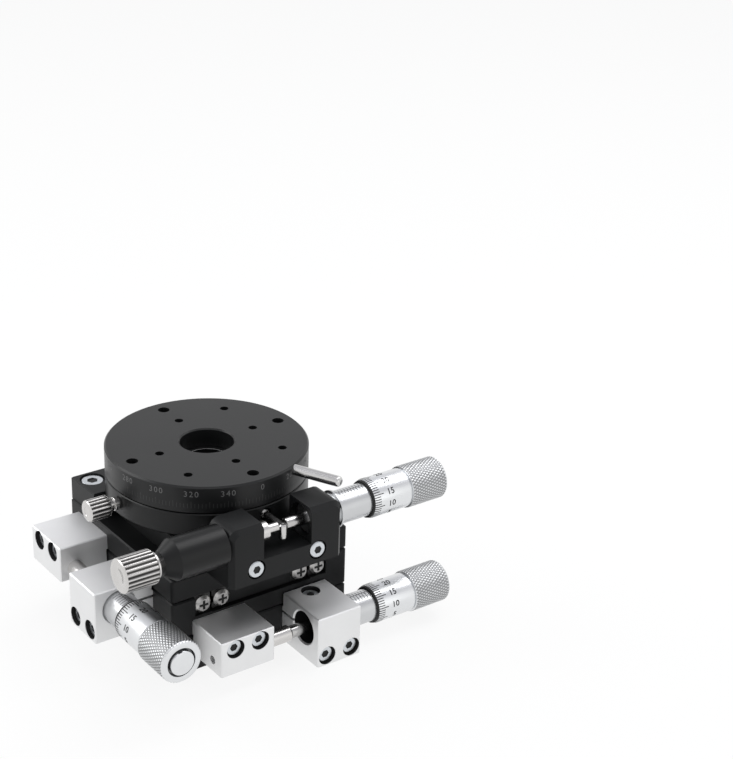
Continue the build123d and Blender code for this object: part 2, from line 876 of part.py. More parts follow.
def dial():
    """The round table with its hub, skirt and tapped holes."""
    shoulder = top_z + nut_lift + nut_height
    body = turned(
        (dial_through_radius, top_z + nut_lift), (nut_thread_radius, top_z + nut_lift),
        (nut_thread_radius, shoulder),
        (hub_radius, shoulder), (hub_radius, dial_bottom), (skirt_inner, dial_bottom),
        (skirt_inner, dial_bottom - skirt_length), (skirt_outer, dial_bottom - skirt_length),
        (skirt_outer, dial_bottom), (ring_radius - dial_chamfer / 2, dial_bottom),
        (ring_radius, dial_bottom + dial_chamfer / 2), (ring_radius, dial_top - dial_chamfer),
        (ring_radius - dial_chamfer, dial_top), (dial_bore_radius + dial_bore_lip, dial_top),
        (dial_bore_radius, dial_top - dial_bore_lip), (dial_bore_radius, dial_top - dial_bore_depth),
        (dial_through_radius, dial_top - dial_bore_depth)
    )
    body -= race(1)
    for quarter in range(4):
        turn = Rot(0, 0, 90 * quarter)
        body -= turn * Pos(outer_tapped_out, 0, dial_top) * rod(outer_tapped_radius, -tapped_depth, 1)
        body -= turn * Pos(inner_tapped_circle / 2, 0, dial_top) * rod(inner_tapped_radius, -tapped_depth, 1)
    half = square_tapped_pitch / 2
    for x, y in ((half, half), (half, -half), (-half, -half)):
        body -= Pos(x, y, dial_top) * rod(inner_tapped_radius, -tapped_depth, 1)
    return body - handle_bar(ring_radius - handle_bite)


def handle_bar(start):
    """The round bar of the dial's handle from a radius outwards."""
    place = Rot(0, 0, handle_angle) * Pos(start, 0, dial_top - handle_drop)
    return place * facing("+X") * rod(handle_radius, 0, handle_reach - start)


def dial_handle():
    """The bar in the dial's edge that turns it by hand."""
    bar_body = handle_bar(ring_radius - handle_bite)
    tip = bar_body.edges().filter_by(GeomType.CIRCLE).sort_by_distance((0, 0, dial_top))[-1]
    return fillet(tip, handle_radius * 0.6)


def dial_nut():
    """The ring nut on the dial's hub that holds the table down."""
    low = top_z + nut_lift
    return rod(nut_radius, low, low + nut_height) - rod(nut_thread_radius, low - 1, low + nut_height + 1)


def tangent_arm():
    """The arm on the ring with the upright bar that the spindle and the plunger press on."""
    z = ring_bottom + arm_height
    length = arm_head_reach - ring_radius + arm_bite
    body = bar(arm_radius, "-Y", (arm_offset, -ring_radius + arm_bite, z), length)
    body += bar(arm_nut_radius, "-Y", (arm_offset, -ring_radius + arm_seat_depth, z), arm_nut_length)
    low = turn_axis_z - arm_head_drop
    high = turn_axis_z + arm_head_top
    head = turned(
        (0, low), (arm_head_radius * 0.6, low), (arm_head_radius, low + arm_head_radius * 0.6),
        (arm_head_radius, high - edge_break), (arm_head_radius - edge_break, high), (0, high)
    )
    return body + Pos(arm_offset, -arm_head_reach, 0) * head


def drive_bracket():
    """The two-eared bracket that holds the turn micrometer and the spring plunger."""
    low = top_z
    floor = low + notch_floor
    high = low + bracket_height
    back = turn_axis_out - ear_thickness / 2
    front = turn_axis_out + ear_thickness / 2
    outline = [
        (-bracket_half_width, low), (bracket_half_width, low), (bracket_half_width, high),
        (notch_half_width, high), (notch_half_width, floor), (-notch_half_width, floor),
        (-notch_half_width, high), (-bracket_half_width, high)
    ]
    face = make_face(Plane.XZ * Polyline(*outline, close=True))
    body = Pos(0, -back, 0) * extrude(face, ear_thickness)
    top_corners = body.edges().filter_by(Axis.Y).group_by(Axis.Z)[-1].sort_by(Axis.X)
    body = fillet([top_corners[0], top_corners[-1]], ear_corner)
    top_fronts = body.edges().filter_by(Axis.X).group_by(Axis.Z)[-1].group_by(Axis.Y)[0]
    body = chamfer(top_fronts, ear_bevel)
    body += box((-bracket_half_width, -back, low), (bracket_half_width, -half_plate, floor - relief))
    axis_z = turn_axis_z
    body -= bar(
        sleeve_radius + clamp_play, "+X", (notch_half_width - 1, -turn_axis_out, axis_z),
        bracket_half_width - notch_half_width + 2
    )
    body -= bar(
        barrel_nose_radius, "-X", (1 - notch_half_width, -turn_axis_out, axis_z),
        bracket_half_width - notch_half_width + 2
    )
    for x in (-bracket_screw_x, bracket_screw_x):
        place = (x, -front - 1, low + bracket_screw_height)
        body -= bar(m3_head + m3_head_play, "+Y", place, m3_head_height + 1)
        body -= bar(m3_shank, "+Y", place, front - half_plate + 2)
    return body


def bracket_screws():
    front = turn_axis_out + ear_thickness / 2
    seat = -front + m3_head_height
    length = bracket_screw_bite - half_plate - seat
    screws = []
    for x in (-bracket_screw_x, bracket_screw_x):
        screw = socket_screw(m3_shank, m3_head, m3_head_height, length)
        screws.append(Pos(x, seat, top_z + bracket_screw_height) * facing("-Y") * screw)
    return screws


def on_turn_axis(piece, x, direction):
    """Puts a piece made about Z on the fine drive's axis, Z = 0 at a place along X."""
    return Pos(x, -turn_axis_out, turn_axis_z) * facing(direction) * piece


def turn_reach():
    """How far the turn spindle's tip stands behind the bracket's outer face."""
    return bracket_half_width - arm_offset - arm_head_radius - contact_gap


def plunger_barrel():
    """The barrel screwed into the left ear, with the spring inside."""
    nose = bracket_half_width - notch_half_width
    end = barrel_length + barrel_cone
    body = turned(
        (plunger_radius + slide_play, -nose), (barrel_nose_radius, -nose), (barrel_nose_radius, 0),
        (barrel_radius, 0), (barrel_radius, barrel_length), (barrel_end_radius, end),
        (plunger_stud_radius + slide_play, end),
        (plunger_stud_radius + slide_play, barrel_bore_end), (barrel_bore_radius, barrel_bore_end),
        (barrel_bore_radius, barrel_bore_start), (plunger_radius + slide_play, barrel_bore_start)
    )
    return on_turn_axis(body, -bracket_half_width, "-X")


def plunger_pin():
    """The pin that presses the tangent arm against the spindle."""
    tip = bracket_half_width + arm_offset - arm_head_radius - contact_gap
    shoulder = bracket_half_width - notch_half_width + plunger_shoulder_out
    flange = barrel_bore_radius - slide_play
    low = plunger_flange_place
    body = turned(
        (0, -tip), (plunger_nose_radius, -tip), (plunger_nose_radius, -shoulder), (plunger_radius, -shoulder),
        (plunger_radius, low), (flange, low), (flange, low + plunger_flange), (0, low + plunger_flange)
    )
    return on_turn_axis(body, -bracket_half_width, "-X")


def plunger_spring():
    start = plunger_flange_place + plunger_flange + contact_gap
    length = plunger_seat_place - start - contact_gap
    wound = coil(barrel_bore_radius - plunger_spring_inset, plunger_spring_wire, length, plunger_spring_turns)
    return on_turn_axis(Pos(0, 0, start) * wound, -bracket_half_width, "-X")


def plunger_seat():
    """The disc that the adjusting screw pushes the spring with."""
    low = plunger_seat_place
    return on_turn_axis(
        rod(barrel_bore_radius - slide_play, low, low + plunger_seat_thickness), -bracket_half_width, "-X"
    )


def plunger_knob():
    """The adjusting knob behind the barrel, with its collar and stud."""
    start = plunger_seat_place + plunger_seat_thickness + contact_gap / 2
    collar = barrel_length + barrel_cone + plunger_stud_length
    knob = collar + plunger_collar_length
    body = rod(plunger_stud_radius, start, collar) + rod(plunger_collar_radius, collar, knob)
    grip = grooved_knob(plunger_knob_radius, plunger_knob_length, plunger_knob_groove_count)
    body += Pos(0, 0, knob) * grip
    return on_turn_axis(body, -bracket_half_width, "-X")


def clamp_pad():
    """The soft pad between the clamp screw and the dial's skirt."""
    start = skirt_outer + contact_gap
    return bar(m3_shank - slide_play, "-X", (-start, clamp_y, clamp_z), clamp_pad_length)


def clamp_knob():
    """The radial screw with a grooved knob that clamps the dial to the ring."""
    start = skirt_outer + contact_gap + clamp_pad_length + contact_gap / 2
    groove = clamp_stem_start + clamp_stem_length / 2
    body = rod(m3_shank - slide_play, start, clamp_knob_start)
    body += rod(clamp_stem_radius, clamp_stem_start, groove - clamp_stem_groove / 2)
    body += rod(clamp_stem_radius, groove + clamp_stem_groove / 2, clamp_knob_start)
    knob = grooved_knob(clamp_knob_radius, clamp_knob_length, clamp_knob_groove_count)
    body += Pos(0, 0, clamp_knob_start) * knob
    return Pos(0, clamp_y, clamp_z) * facing("-X") * body


x_reach = head_reach(x_block_start, x_anvil_start)
y_reach = head_reach(y_block_start, y_anvil_start)
sides = (-1, 1)

nodes = {
    "base_plate": base_plate(),
    "x_fixed_rails": group(rail(side, False) for side in sides),
    "base_pan_screws": group(rail_screws(False)),
    "x_head_block": head_block(x_block_start),
    "base_socket_screws": group(head_block_screws(x_block_start)),
    "x_sleeve": on_head(sleeve(x_sleeve_out), x_block_start),
    "x_roller_cages": group(roller_cage(side) for side in sides),
    "x_rollers": group(rollers(-1) + rollers(1)),
    "middle_plate": middle_plate(),
    "x_moving_rails": group(rail(side, True) for side in sides),
    "y_fixed_rails": group(to_y(rail(side, False)) for side in sides),
    "middle_pan_screws": group(
        rail_screws(True) + [to_y(screw) for screw in rail_screws(False)] + lock_plate_screws()
    ),
    "x_anvil_block": anvil_block(x_anvil_start),
    "x_anvil_pin": anvil_pin(x_anvil_start),
    "y_head_block": to_y(head_block(y_block_start)),
    "middle_socket_screws": group(
        anvil_screws(x_anvil_start) + [to_y(screw) for screw in head_block_screws(y_block_start)]
    ),
    "y_sleeve": to_y(on_head(sleeve(y_sleeve_out), y_block_start)),
    "x_lock_plate": lock_plate(),
    "x_return_spring": return_spring(),
    "x_spindle": on_head(spindle(x_sleeve_out, x_reach), x_block_start),
    "x_thimble": on_head(thimble(x_sleeve_out), x_block_start),
    "x_lock_washer": lock_washer(),
    "x_lock_screw": lock_screw(),
    "y_roller_cages": group(to_y(roller_cage(side)) for side in sides),
    "y_rollers": group(to_y(roller) for roller in rollers(-1) + rollers(1)),
    "top_plate": top_plate(),
    "y_moving_rails": group(to_y(rail(side, True)) for side in sides),
    "top_pan_screws": group(to_y(screw) for screw in rail_screws(True) + lock_plate_screws()),
    "y_anvil_block": to_y(anvil_block(y_anvil_start)),
    "y_anvil_pin": to_y(anvil_pin(y_anvil_start)),
    "top_socket_screws": group(
        [to_y(screw) for screw in anvil_screws(y_anvil_start)] + bracket_screws()
    ),
    "y_lock_plate": to_y(lock_plate()),
    "y_return_spring": to_y(return_spring()),
    "y_spindle": to_y(on_head(spindle(y_sleeve_out, y_reach), y_block_start)),
    "y_thimble": to_y(on_head(thimble(y_sleeve_out), y_block_start)),
    "y_lock_washer": to_y(lock_washer()),
    "y_lock_screw": to_y(lock_screw()),
    "rotary_base": rotary_base(),
    "rotary_base_screws": group(rotary_base_screws()),
    "thrust_washer": thrust_washer(),
    "ring_collar": ring_collar(),
    "fine_ring": fine_ring(),
    "tangent_arm": tangent_arm(),
    "ball_cage": ball_cage(),
    "bearing_balls": group(bearing_balls()),
    "dial": dial(),
    "dial_handle": dial_handle(),
    "dial_nut": dial_nut(),
    "drive_bracket": drive_bracket(),
    "turn_sleeve": turn_sleeve(),
    "turn_spindle": on_turn_axis(spindle(turn_sleeve_out, turn_reach()), bracket_half_width, "+X"),
    "turn_thimble": on_turn_axis(thimble(turn_sleeve_out), bracket_half_width, "+X"),
    "plunger_barrel": plunger_barrel(),
    "plunger_pin": plunger_pin(),
    "plunger_spring": plunger_spring(),
    "plunger_seat": plunger_seat(),
    "plunger_knob": plunger_knob(),
    "clamp_pad": clamp_pad(),
    "clamp_knob": clamp_knob(),
}

os.makedirs("parts", exist_ok=True)
for name, shape in nodes.items():
    export_step(shape, "parts/" + name + ".step")
print(len(nodes), "nodes, top of the dial at", round(dial_top, 2), "mm")
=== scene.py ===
# %% [markdown]
# A three-axis positioning stage, dressed for the photograph.
# The solids come in as a fixed frame. This file gives every one of them a worked material, and
# adds what solids alone don't show: knurled grips, engraved scales, grooved knobs and printed
# numbers.

# %% Load the frame
from math import cos, degrees, floor, pi, radians, sin, tan

import bmesh
import bpy
from mathutils import Matrix, Vector


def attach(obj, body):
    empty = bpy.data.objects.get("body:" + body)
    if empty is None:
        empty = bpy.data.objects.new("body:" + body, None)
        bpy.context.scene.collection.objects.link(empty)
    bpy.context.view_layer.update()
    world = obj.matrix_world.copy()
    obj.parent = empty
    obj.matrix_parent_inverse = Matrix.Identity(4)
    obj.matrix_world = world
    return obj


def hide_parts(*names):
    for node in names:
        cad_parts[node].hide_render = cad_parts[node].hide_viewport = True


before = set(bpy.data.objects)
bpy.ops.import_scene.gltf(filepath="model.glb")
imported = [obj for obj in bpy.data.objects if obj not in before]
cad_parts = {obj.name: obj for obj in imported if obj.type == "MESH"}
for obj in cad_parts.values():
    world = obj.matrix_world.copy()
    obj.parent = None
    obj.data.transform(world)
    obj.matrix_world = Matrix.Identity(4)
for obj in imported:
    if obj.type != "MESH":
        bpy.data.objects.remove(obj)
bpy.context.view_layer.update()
MM = 0.001

# %% [markdown]
# The camera comes first, because every later choice is judged through it. Its place was worked
# out from the round and square features in the photograph. Seen from the middle of the dial it
# stands 31 degrees to the left of straight ahead and 26 degrees up, about 0.53 m away, with a
# lens of 85 mm. A camera in Blender looks along its own -Z with +Y up, so the three directions
# become the columns of its matrix, two of them with their sign turned.

# %% Camera
LENS, SENSOR = 85.113, 36.0
camera_data = bpy.data.cameras.new("camera")
camera_data.lens = LENS
camera_data.sensor_width = SENSOR
camera = bpy.data.objects.new("camera", camera_data)
bpy.context.scene.collection.objects.link(camera)
camera_place = Vector((-0.247015, -0.406669, 0.288183))
right = Vector((0.80736598, -0.58935349, 0.02868156))
down = Vector((-0.21969372, -0.34536495, -0.91239121))
ahead = Vector((0.54762655, 0.73033247, -0.40831317))
turn = Matrix((right, -down, -ahead)).transposed().to_4x4()
camera.matrix_world = Matrix.Translation(camera_place) @ turn
bpy.context.scene.camera = camera
print("camera looks along", [round(value, 3) for value in ahead])

# %% [markdown]
# A material is a small sum over the surface: some grain here, a slow change of tone there.
# Blender writes such sums as Math nodes wired by hand. A wrapper round a socket lets the sums be
# written as sums, so that a finish reads like its description.

# %% Sums on sockets
class Value:
    """A number that varies over a surface, written as an ordinary term in a sum."""

    def __init__(self, owner, socket):
        self.owner = owner
        self.socket = socket

    def math(self, operation, *terms):
        return self.owner.node("ShaderNodeMath", {"operation": operation}, terms)

    def __add__(self, other):
        return self.math("ADD", self, other)

    __radd__ = __add__

    def __sub__(self, other):
        return self.math("SUBTRACT", self, other)

    def __rsub__(self, other):
        return self.math("SUBTRACT", other, self)

    def __mul__(self, other):
        return self.math("MULTIPLY", self, other)

    __rmul__ = __mul__

    def __truediv__(self, other):
        return self.math("DIVIDE", self, other)

    def __rtruediv__(self, other):
        return self.math("DIVIDE", other, self)

    def __gt__(self, other):
        return self.math("GREATER_THAN", self, other)

    def __lt__(self, other):
        return self.math("LESS_THAN", self, other)

    def larger(self, other):
        return self.math("MAXIMUM", self, other)

    def clamped(self):
        return self.math("MINIMUM", self.larger(0.0), 1.0)


print("sums ready:", ", ".join(name for name in vars(Value) if not name.startswith("_")))

# %% [markdown]
# Materials and the world are both trees of nodes, so one small class serves them. Its method
# `node` makes any node: its settings go in first, because they can change which sockets a node
# has, and then its sockets, either in order or by name.

# %% One node method for every tree
class Nodes:
    """A node tree, and the one method that adds nodes to it."""

    def __init__(self, tree):
        self.tree = tree

    def node(self, kind, settings=None, sockets=(), output=0):
        made = self.tree.nodes.new(kind)
        for key, value in (settings or {}).items():
            if key == "stops":
                for stop, (place, colour) in zip(made.color_ramp.elements, value):
                    stop.position = place
                    stop.color = colour
            else:
                setattr(made, key, value)
        pairs = sockets.items() if isinstance(sockets, dict) else enumerate(sockets)
        for key, value in pairs:
            self.feed(made.inputs[key], value)
        return Value(self, made.outputs[output]) if made.outputs else None

    def feed(self, socket, value):
        """Links a varying value to a socket, or sets a constant on it."""
        if isinstance(value, Value):
            self.tree.links.new(value.socket, socket)
        else:
            socket.default_value = value

    def vector(self, operation, *terms, output="Vector"):
        return self.node("ShaderNodeVectorMath", {"operation": operation}, terms, output)


print("node method ready")

# %% [markdown]
# A finish is one material. The surface's own coordinates come in millimetres, because a grain of
# 0.1 mm is easier to judge than one of 0.0001 m. Object coordinates need no UV map, and a texture
# in space runs through edges as the real metal does.

# %% One finish
class Finish(Nodes):
    """One material and the nodes that make its surface."""

    def __init__(self, name):
        self.material = bpy.data.materials.new(name)
        self.material.use_nodes = True
        super().__init__(self.material.node_tree)
        self.shader = self.tree.nodes["Principled BSDF"]

    def place(self):
        """The surface's coordinates in millimetres."""
        point = self.node("ShaderNodeTexCoord", output="Object")
        sockets = {"Vector": point, "Scale": 1.0 / MM}
        return self.node("ShaderNodeVectorMath", {"operation": "SCALE"}, sockets)

    def along(self, axis):
        """One coordinate of the surface in millimetres."""
        return self.node(
            "ShaderNodeSeparateXYZ", sockets=[self.place()], output="XYZ".index(axis)
        )

    def noise(self, scale, detail=2.0, vector=None, roughness=0.5):
        point = self.place() if vector is None else vector
        sockets = {"Vector": point, "Scale": scale, "Detail": detail, "Roughness": roughness}
        return self.node("ShaderNodeTexNoise", sockets=sockets)

    def marks(self, x, y=0.0):
        """Fine tool marks: noise that changes along one or two given lengths only."""
        point = self.node("ShaderNodeCombineXYZ", sockets=[x, y, 0.0])
        return self.noise(1.0, 3.0, point, 0.6)

    def blend(self, share, first, second):
        """A colour between two colours: the first, seventh and eighth socket of the colour mix."""
        sockets = {0: share, 6: first, 7: second}
        return self.node("ShaderNodeMix", {"data_type": "RGBA"}, sockets, output=2)

    def drifting(self, share, tone, darkest, palest, warm=0.0):
        """A grey that drifts between two multiples of its tone."""
        return self.blend(share, grey(tone * darkest, warm), grey(tone * palest, warm))

    def grip(self, origin, direction, crest, depth, low, high):
        """1 in the valleys of a cut grip and 0 on its crests, from the distance to its axis."""
        offset = self.vector("SUBTRACT", self.place(), origin)
        height = self.vector("DOT_PRODUCT", offset, direction, output="Value")
        across = tuple(1.0 - abs(part) for part in direction)
        flat = self.vector("MULTIPLY", offset, across)
        radius = self.vector("LENGTH", flat, output="Value")
        valley = ((crest - radius) / depth).clamped()
        return valley * (height > low) * (height < high)

    def bump(self, height, depth):
        """A normal from a height between 0 and 1 and its depth in millimetres."""
        sockets = {"Strength": 1.0, "Distance": depth * MM, "Height": height}
        return self.node("ShaderNodeBump", sockets=sockets)

    def set(self, **sockets):
        """Sets the shader: constants on its own sockets, varying values as links."""
        names = {
            "colour": "Base Color", "roughness": "Roughness", "metallic": "Metallic",
            "normal": "Normal", "specular": "Specular IOR Level",
        }
        for key, value in sockets.items():
            self.feed(self.shader.inputs[names[key]], value)
        return self.material


def grey(value, warm=0.0):
    """An opaque grey, a little warmer or, below zero, cooler."""
    return (value * (1 + warm), value, value * (1 - warm), 1.0)


print("finish helpers ready; middle grey:", grey(0.18))

# %% [markdown]
# Black anodised aluminium is not black paint: the oxide is thin, so the blasted grain of the
# metal shows through it as a fine sparkle, and big faces drift a little in tone. The grain is a
# small bump, the drift is a slow noise in colour and in roughness. The dial and the ring were
# turned on a lathe before they were anodised, so they carry rings round the table's axis as well.

# %% Black anodised finishes
def black_anodised(name, tone=0.007, rough=0.44):
    """Blasted and anodised black, with drift in tone and grain in gloss and relief."""
    finish = Finish(name)
    drift = finish.noise(0.09, detail=3.0)
    grain = finish.noise(9.0, roughness=0.7)
    colour = finish.drifting(drift, tone, 0.8, 1.35, warm=-0.05)
    roughness = rough - 0.05 + drift * 0.08 + grain * 0.06
    relief = finish.bump(grain, depth=0.006)
    return finish.set(
        colour=colour, roughness=roughness, metallic=0.0, specular=0.2, normal=relief
    )


def turned_black(name, tone, rough, gloss):
    """Black anodised over a lathe-turned face: rings round the table's axis."""
    finish = Finish(name)
    flat = finish.vector("MULTIPLY", finish.place(), (1.0, 1.0, 0.0))
    radius = finish.vector("LENGTH", flat, output="Value")
    rings_per_mm = 5.0
    rings = finish.marks(radius * rings_per_mm, finish.along("Z") * rings_per_mm)
    grain = finish.noise(11.0, roughness=0.7)
    drift = finish.noise(0.07)
    colour = finish.drifting(drift, tone, 0.85, 1.25, warm=-0.04)
    roughness = rough - 0.06 + rings * 0.1 + grain * 0.04
    relief = finish.bump(rings * 0.7 + grain * 0.3, depth=0.005)
    return finish.set(
        colour=colour, roughness=roughness, metallic=0.0, specular=gloss, normal=relief
    )


plate_black = black_anodised("plate_black")
bracket_black = black_anodised("bracket_black", tone=0.009, rough=0.4)
dial_black = turned_black("dial_black", tone=0.009, rough=0.34, gloss=0.3)
ring_black = turned_black("ring_black", tone=0.006, rough=0.34, gloss=0.26)
print("black finishes:", plate_black.name, bracket_black.name, dial_black.name, ring_black.name)

# %% [markdown]
# The clamp blocks are clear anodised over milled aluminium, so they are pale and satin with a
# faint fine grain. The same finish, darker and with a closer gloss, serves the lock plates, which
# are sheet. It is a metal in the shader, because the clear oxide leaves the metal's own
# reflection.

# %% Silver anodised finishes
def silver_anodised(name, tone=0.8, rough=0.55):
    """Clear anodised aluminium, with a faint grain in gloss and relief."""
    finish = Finish(name)
    drift = finish.noise(0.12)
    grain = finish.noise(8.0, detail=3.0, roughness=0.7)
    colour = finish.drifting(drift, tone, 0.96, 1.04, warm=-0.004)
    roughness = rough - 0.04 + drift * 0.04 + grain * 0.08
    relief = finish.bump(grain, depth=0.005)
    return finish.set(colour=colour, roughness=roughness, metallic=1.0, normal=relief)


block_silver = silver_anodised("block_silver")
sheet_silver = silver_anodised("sheet_silver", tone=0.74, rough=0.34)
print("silver finishes:", block_silver.name, sheet_silver.name)

# %% [markdown]
# Micrometer heads are turned steel with a satin chrome plate. The tool leaves rings round the
# axis, so light stretches across them. The rings are noise that changes along the head's own axis
# only. Spindles and anvil pins are ground finer and polished more than the thimbles. In the
# valleys of a cut grip the same finish turns dull, and its colour is darkened there as painted
# shade.

# %% Chrome and steel finishes
MARKS_PER_MM = 7.0


def turned_metal(name, axis, tone, rough, ring_depth=0.003, warm=0.0, grip=None, valley_shade=0.0):
    """Turned and plated metal, with painted shade in the valleys where a grip is given."""
    finish = Finish(name)
    rings = finish.marks(finish.along(axis) * MARKS_PER_MM)
    drift = finish.noise(0.2)
    colour = finish.drifting(drift, tone, 0.95, 1.05, warm)
    roughness = rough - 0.05 + rings * 0.08 + drift * 0.04
    if grip:
        valley = finish.grip(*grip)
        # Painted shade: in the grip's valleys the colour is mixed towards near black.
        colour = finish.blend((valley * 1.4).clamped() * valley_shade, colour, grey(tone * 0.08, warm))
        roughness = roughness + valley * 0.15
    relief = finish.bump(rings, ring_depth)
    return finish.set(colour=colour, roughness=roughness, metallic=1.0, normal=relief)


chrome_x = turned_metal("satin_chrome_x", "X", tone=0.6, rough=0.3, warm=-0.015)
chrome_y = turned_metal("satin_chrome_y", "Y", tone=0.6, rough=0.3, warm=-0.015)
ground_x = turned_metal("ground_steel_x", "X", 0.5, 0.18, ring_depth=0.0015, warm=0.01)
ground_y = turned_metal("ground_steel_y", "Y", 0.5, 0.18, ring_depth=0.0015, warm=0.01)
nickel_x = turned_metal("nickel_x", "X", 0.6, 0.24, ring_depth=0.002, warm=0.02)
nickel_y = turned_metal("nickel_y", "Y", 0.6, 0.24, ring_depth=0.002, warm=0.02)
nickel_z = turned_metal("nickel_z", "Z", 0.6, 0.2, ring_depth=0.002, warm=0.01)
print("turned finishes for heads, pins and knobs")

# %% [markdown]
# Screws are zinc plated: a bluish, cloudy grey. The rails are dark ground steel, the cages are
# brass and the springs are wire. They are mostly hidden, but they show in the gaps and at the
# rail ends. One cloudy finish serves them all, with its own tone and warmth. Marks are filled
# with paint, which is matt and a little uneven.

# %% Small parts' finishes
def cloudy_metal(name, tone, rough, warm):
    """Plated or drawn metal with clouds in its colour and gloss."""
    finish = Finish(name)
    cloud = finish.noise(0.7, detail=4.0)
    colour = finish.drifting(cloud, tone, 0.85, 1.12, warm)
    roughness = rough - 0.06 + cloud * 0.14
    relief = finish.bump(finish.noise(6.0), depth=0.004)
    return finish.set(colour=colour, roughness=roughness, metallic=1.0, normal=relief)


def filled(name, tone, rough):
    """Paint wiped into an engraved mark; in black it also serves as painted shade in holes and
    gaps.
    """
    finish = Finish(name)
    patch = finish.noise(2.5)
    colour = finish.drifting(patch, tone, 0.8, 1.2)
    return finish.set(colour=colour, roughness=rough + patch * 0.1, metallic=0.0, specular=0.3)


zinc = cloudy_metal("zinc_plate", tone=0.66, rough=0.28, warm=-0.04)
pan_zinc = cloudy_metal("pan_head_zinc", tone=0.5, rough=0.34, warm=0.02)
rail_steel = cloudy_metal("rail_steel", tone=0.06, rough=0.36, warm=0.0)
brass = cloudy_metal("cage_brass", tone=0.5, rough=0.32, warm=0.22)
spring_steel = cloudy_metal("spring_wire", tone=0.3, rough=0.35, warm=0.02)
# The black fill serves both as paint in engraved marks and as painted shade in holes, gaps,
# recesses and bores.
black_fill_and_shade = filled("black_fill_and_shade", tone=0.012, rough=0.5)
white_fill = filled("white_fill", tone=0.15, rough=0.55)
faint_fill = filled("faint_fill", tone=0.07, rough=0.55)
print("small finishes ready")

# %% [markdown]
# Now each solid gets its finish. The table below goes by node name. A node that a detailed piece
# replaces further down gets one too, so that nothing is ever left plain.

# %% Finishes on the solids
finish_of = {
    plate_black: ["base_plate", "middle_plate", "top_plate"],
    bracket_black: ["rotary_base", "drive_bracket"],
    dial_black: ["dial"],
    ring_black: ["fine_ring", "ring_collar", "dial_nut", "plunger_barrel"],
    block_silver: ["x_head_block", "y_head_block", "x_anvil_block", "y_anvil_block"],
    sheet_silver: ["x_lock_plate", "y_lock_plate"],
    chrome_x: ["x_sleeve", "turn_sleeve", "x_thimble", "turn_thimble"],
    chrome_y: ["y_sleeve", "y_thimble"],
    ground_x: ["x_spindle", "turn_spindle"],
    ground_y: ["y_spindle"],
    nickel_x: ["x_anvil_pin", "plunger_pin", "plunger_knob", "plunger_seat", "clamp_knob",
               "y_lock_screw", "y_lock_washer"],
    nickel_y: ["y_anvil_pin", "x_lock_screw", "x_lock_washer"],
    nickel_z: ["dial_handle", "tangent_arm", "bearing_balls", "thrust_washer"],
    zinc: ["base_socket_screws", "middle_socket_screws", "top_socket_screws",
           "rotary_base_screws"],
    pan_zinc: ["base_pan_screws", "middle_pan_screws", "top_pan_screws"],
    rail_steel: ["x_fixed_rails", "x_moving_rails", "y_fixed_rails", "y_moving_rails",
                 "x_rollers", "y_rollers"],
    brass: ["x_roller_cages", "y_roller_cages", "ball_cage", "clamp_pad"],
    spring_steel: ["x_return_spring", "y_return_spring", "plunger_spring"],
}
dressed = set()
for material, names in finish_of.items():
    for name in names:
        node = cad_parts[name]
        node.data.materials.clear()
        node.data.materials.append(material)
        dressed.add(name)
left = sorted(set(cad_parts) - dressed)
print("dressed", len(dressed), "of", len(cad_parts), "nodes; left:", left)

# %% [markdown]
# Turned pieces are easiest to draw round an axis. Each gets a frame of its own, in millimetres: Z
# along the axis and out of the part, X upwards, so that angle 0 is on top. A matrix then sets the
# piece on its place. Pieces that aren't turned are drawn in the frame of the whole part.

# %% Places of the turned pieces
FRONT, BACK, LEFT, RIGHT, UP = (0, -1, 0), (0, 1, 0), (-1, 0, 0), (1, 0, 0), (0, 0, 1)
WHOLE = Matrix.Identity(4)


def frame_at(origin, out):
    """A frame with Z along the axis and X upwards, in millimetres."""
    z = Vector(out)
    x = Vector(UP)
    y = z.cross(x)
    basis = Matrix((x, y, z)).transposed().to_4x4()
    return Matrix.Translation(Vector(origin)) @ basis


HEAD_OUT = 40.8                          # the slides' micrometer axes, from the middle
X_HEAD_HEIGHT, Y_HEAD_HEIGHT = 9.7, 21.8
DRIVE_OUT, DRIVE_HEIGHT = 37.4, 43.6     # the axis of the fine drive
BRACKET_HALF = 18.85                     # half the width of the drive's bracket
x_head = frame_at((22.2, -HEAD_OUT, X_HEAD_HEIGHT), RIGHT)
y_head = frame_at((-HEAD_OUT, -19.2, Y_HEAD_HEIGHT), FRONT)
turn_head = frame_at((BRACKET_HALF, -DRIVE_OUT, DRIVE_HEIGHT), RIGHT)
plunger_place = frame_at((-BRACKET_HALF, -DRIVE_OUT, DRIVE_HEIGHT), LEFT)
clamp_place = frame_at((0.0, 0.0, 43.2), LEFT)
x_lock_place = frame_at((0.0, 0.0, 5.8), BACK)
y_lock_place = frame_at((0.0, 0.0, 17.9), RIGHT)
print("x head at", tuple(round(v, 1) for v in x_head.translation))

# %% [markdown]
# Every added piece is a mesh from plain lists of points and faces. Shading is smooth, apart from
# edges that are sharper than a given angle, which keeps turned bevels crisp. Each piece rides on
# the body that carries it, so it moves with that body in every pose.

# %% A mesh from points
def piece(name, points, faces, place, material, body, sharp=35.0):
    """Makes an object from millimetre points, sets it in place and lets it ride on a body."""
    mesh = bpy.data.meshes.new(name)
    mesh.from_pydata([(place @ Vector(p)) * MM for p in points], [], faces)
    mesh.validate()
    mesh.shade_smooth()
    mesh.set_sharp_from_angle(angle=radians(sharp))
    mesh.materials.append(material)
    made = bpy.data.objects.new(name, mesh)
    bpy.context.scene.collection.objects.link(made)
    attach(made, body)
    return made


def spun(rows, columns, depth=None):
    """Points and faces of a turned surface: rows of (radius, height), closed round the axis."""
    points = []
    for radius, height in rows:
        for column in range(columns):
            angle = 2 * pi * column / columns
            r = radius - (depth(angle, radius, height) if depth else 0.0)
            points.append((r * cos(angle), r * sin(angle), height))
    faces = []
    for row in range(len(rows) - 1):
        for column in range(columns):
            a = row * columns + column
            b = row * columns + (column + 1) % columns
            faces.append((a, b, b + columns, a + columns))
    return points, faces


print("mesh helpers ready")

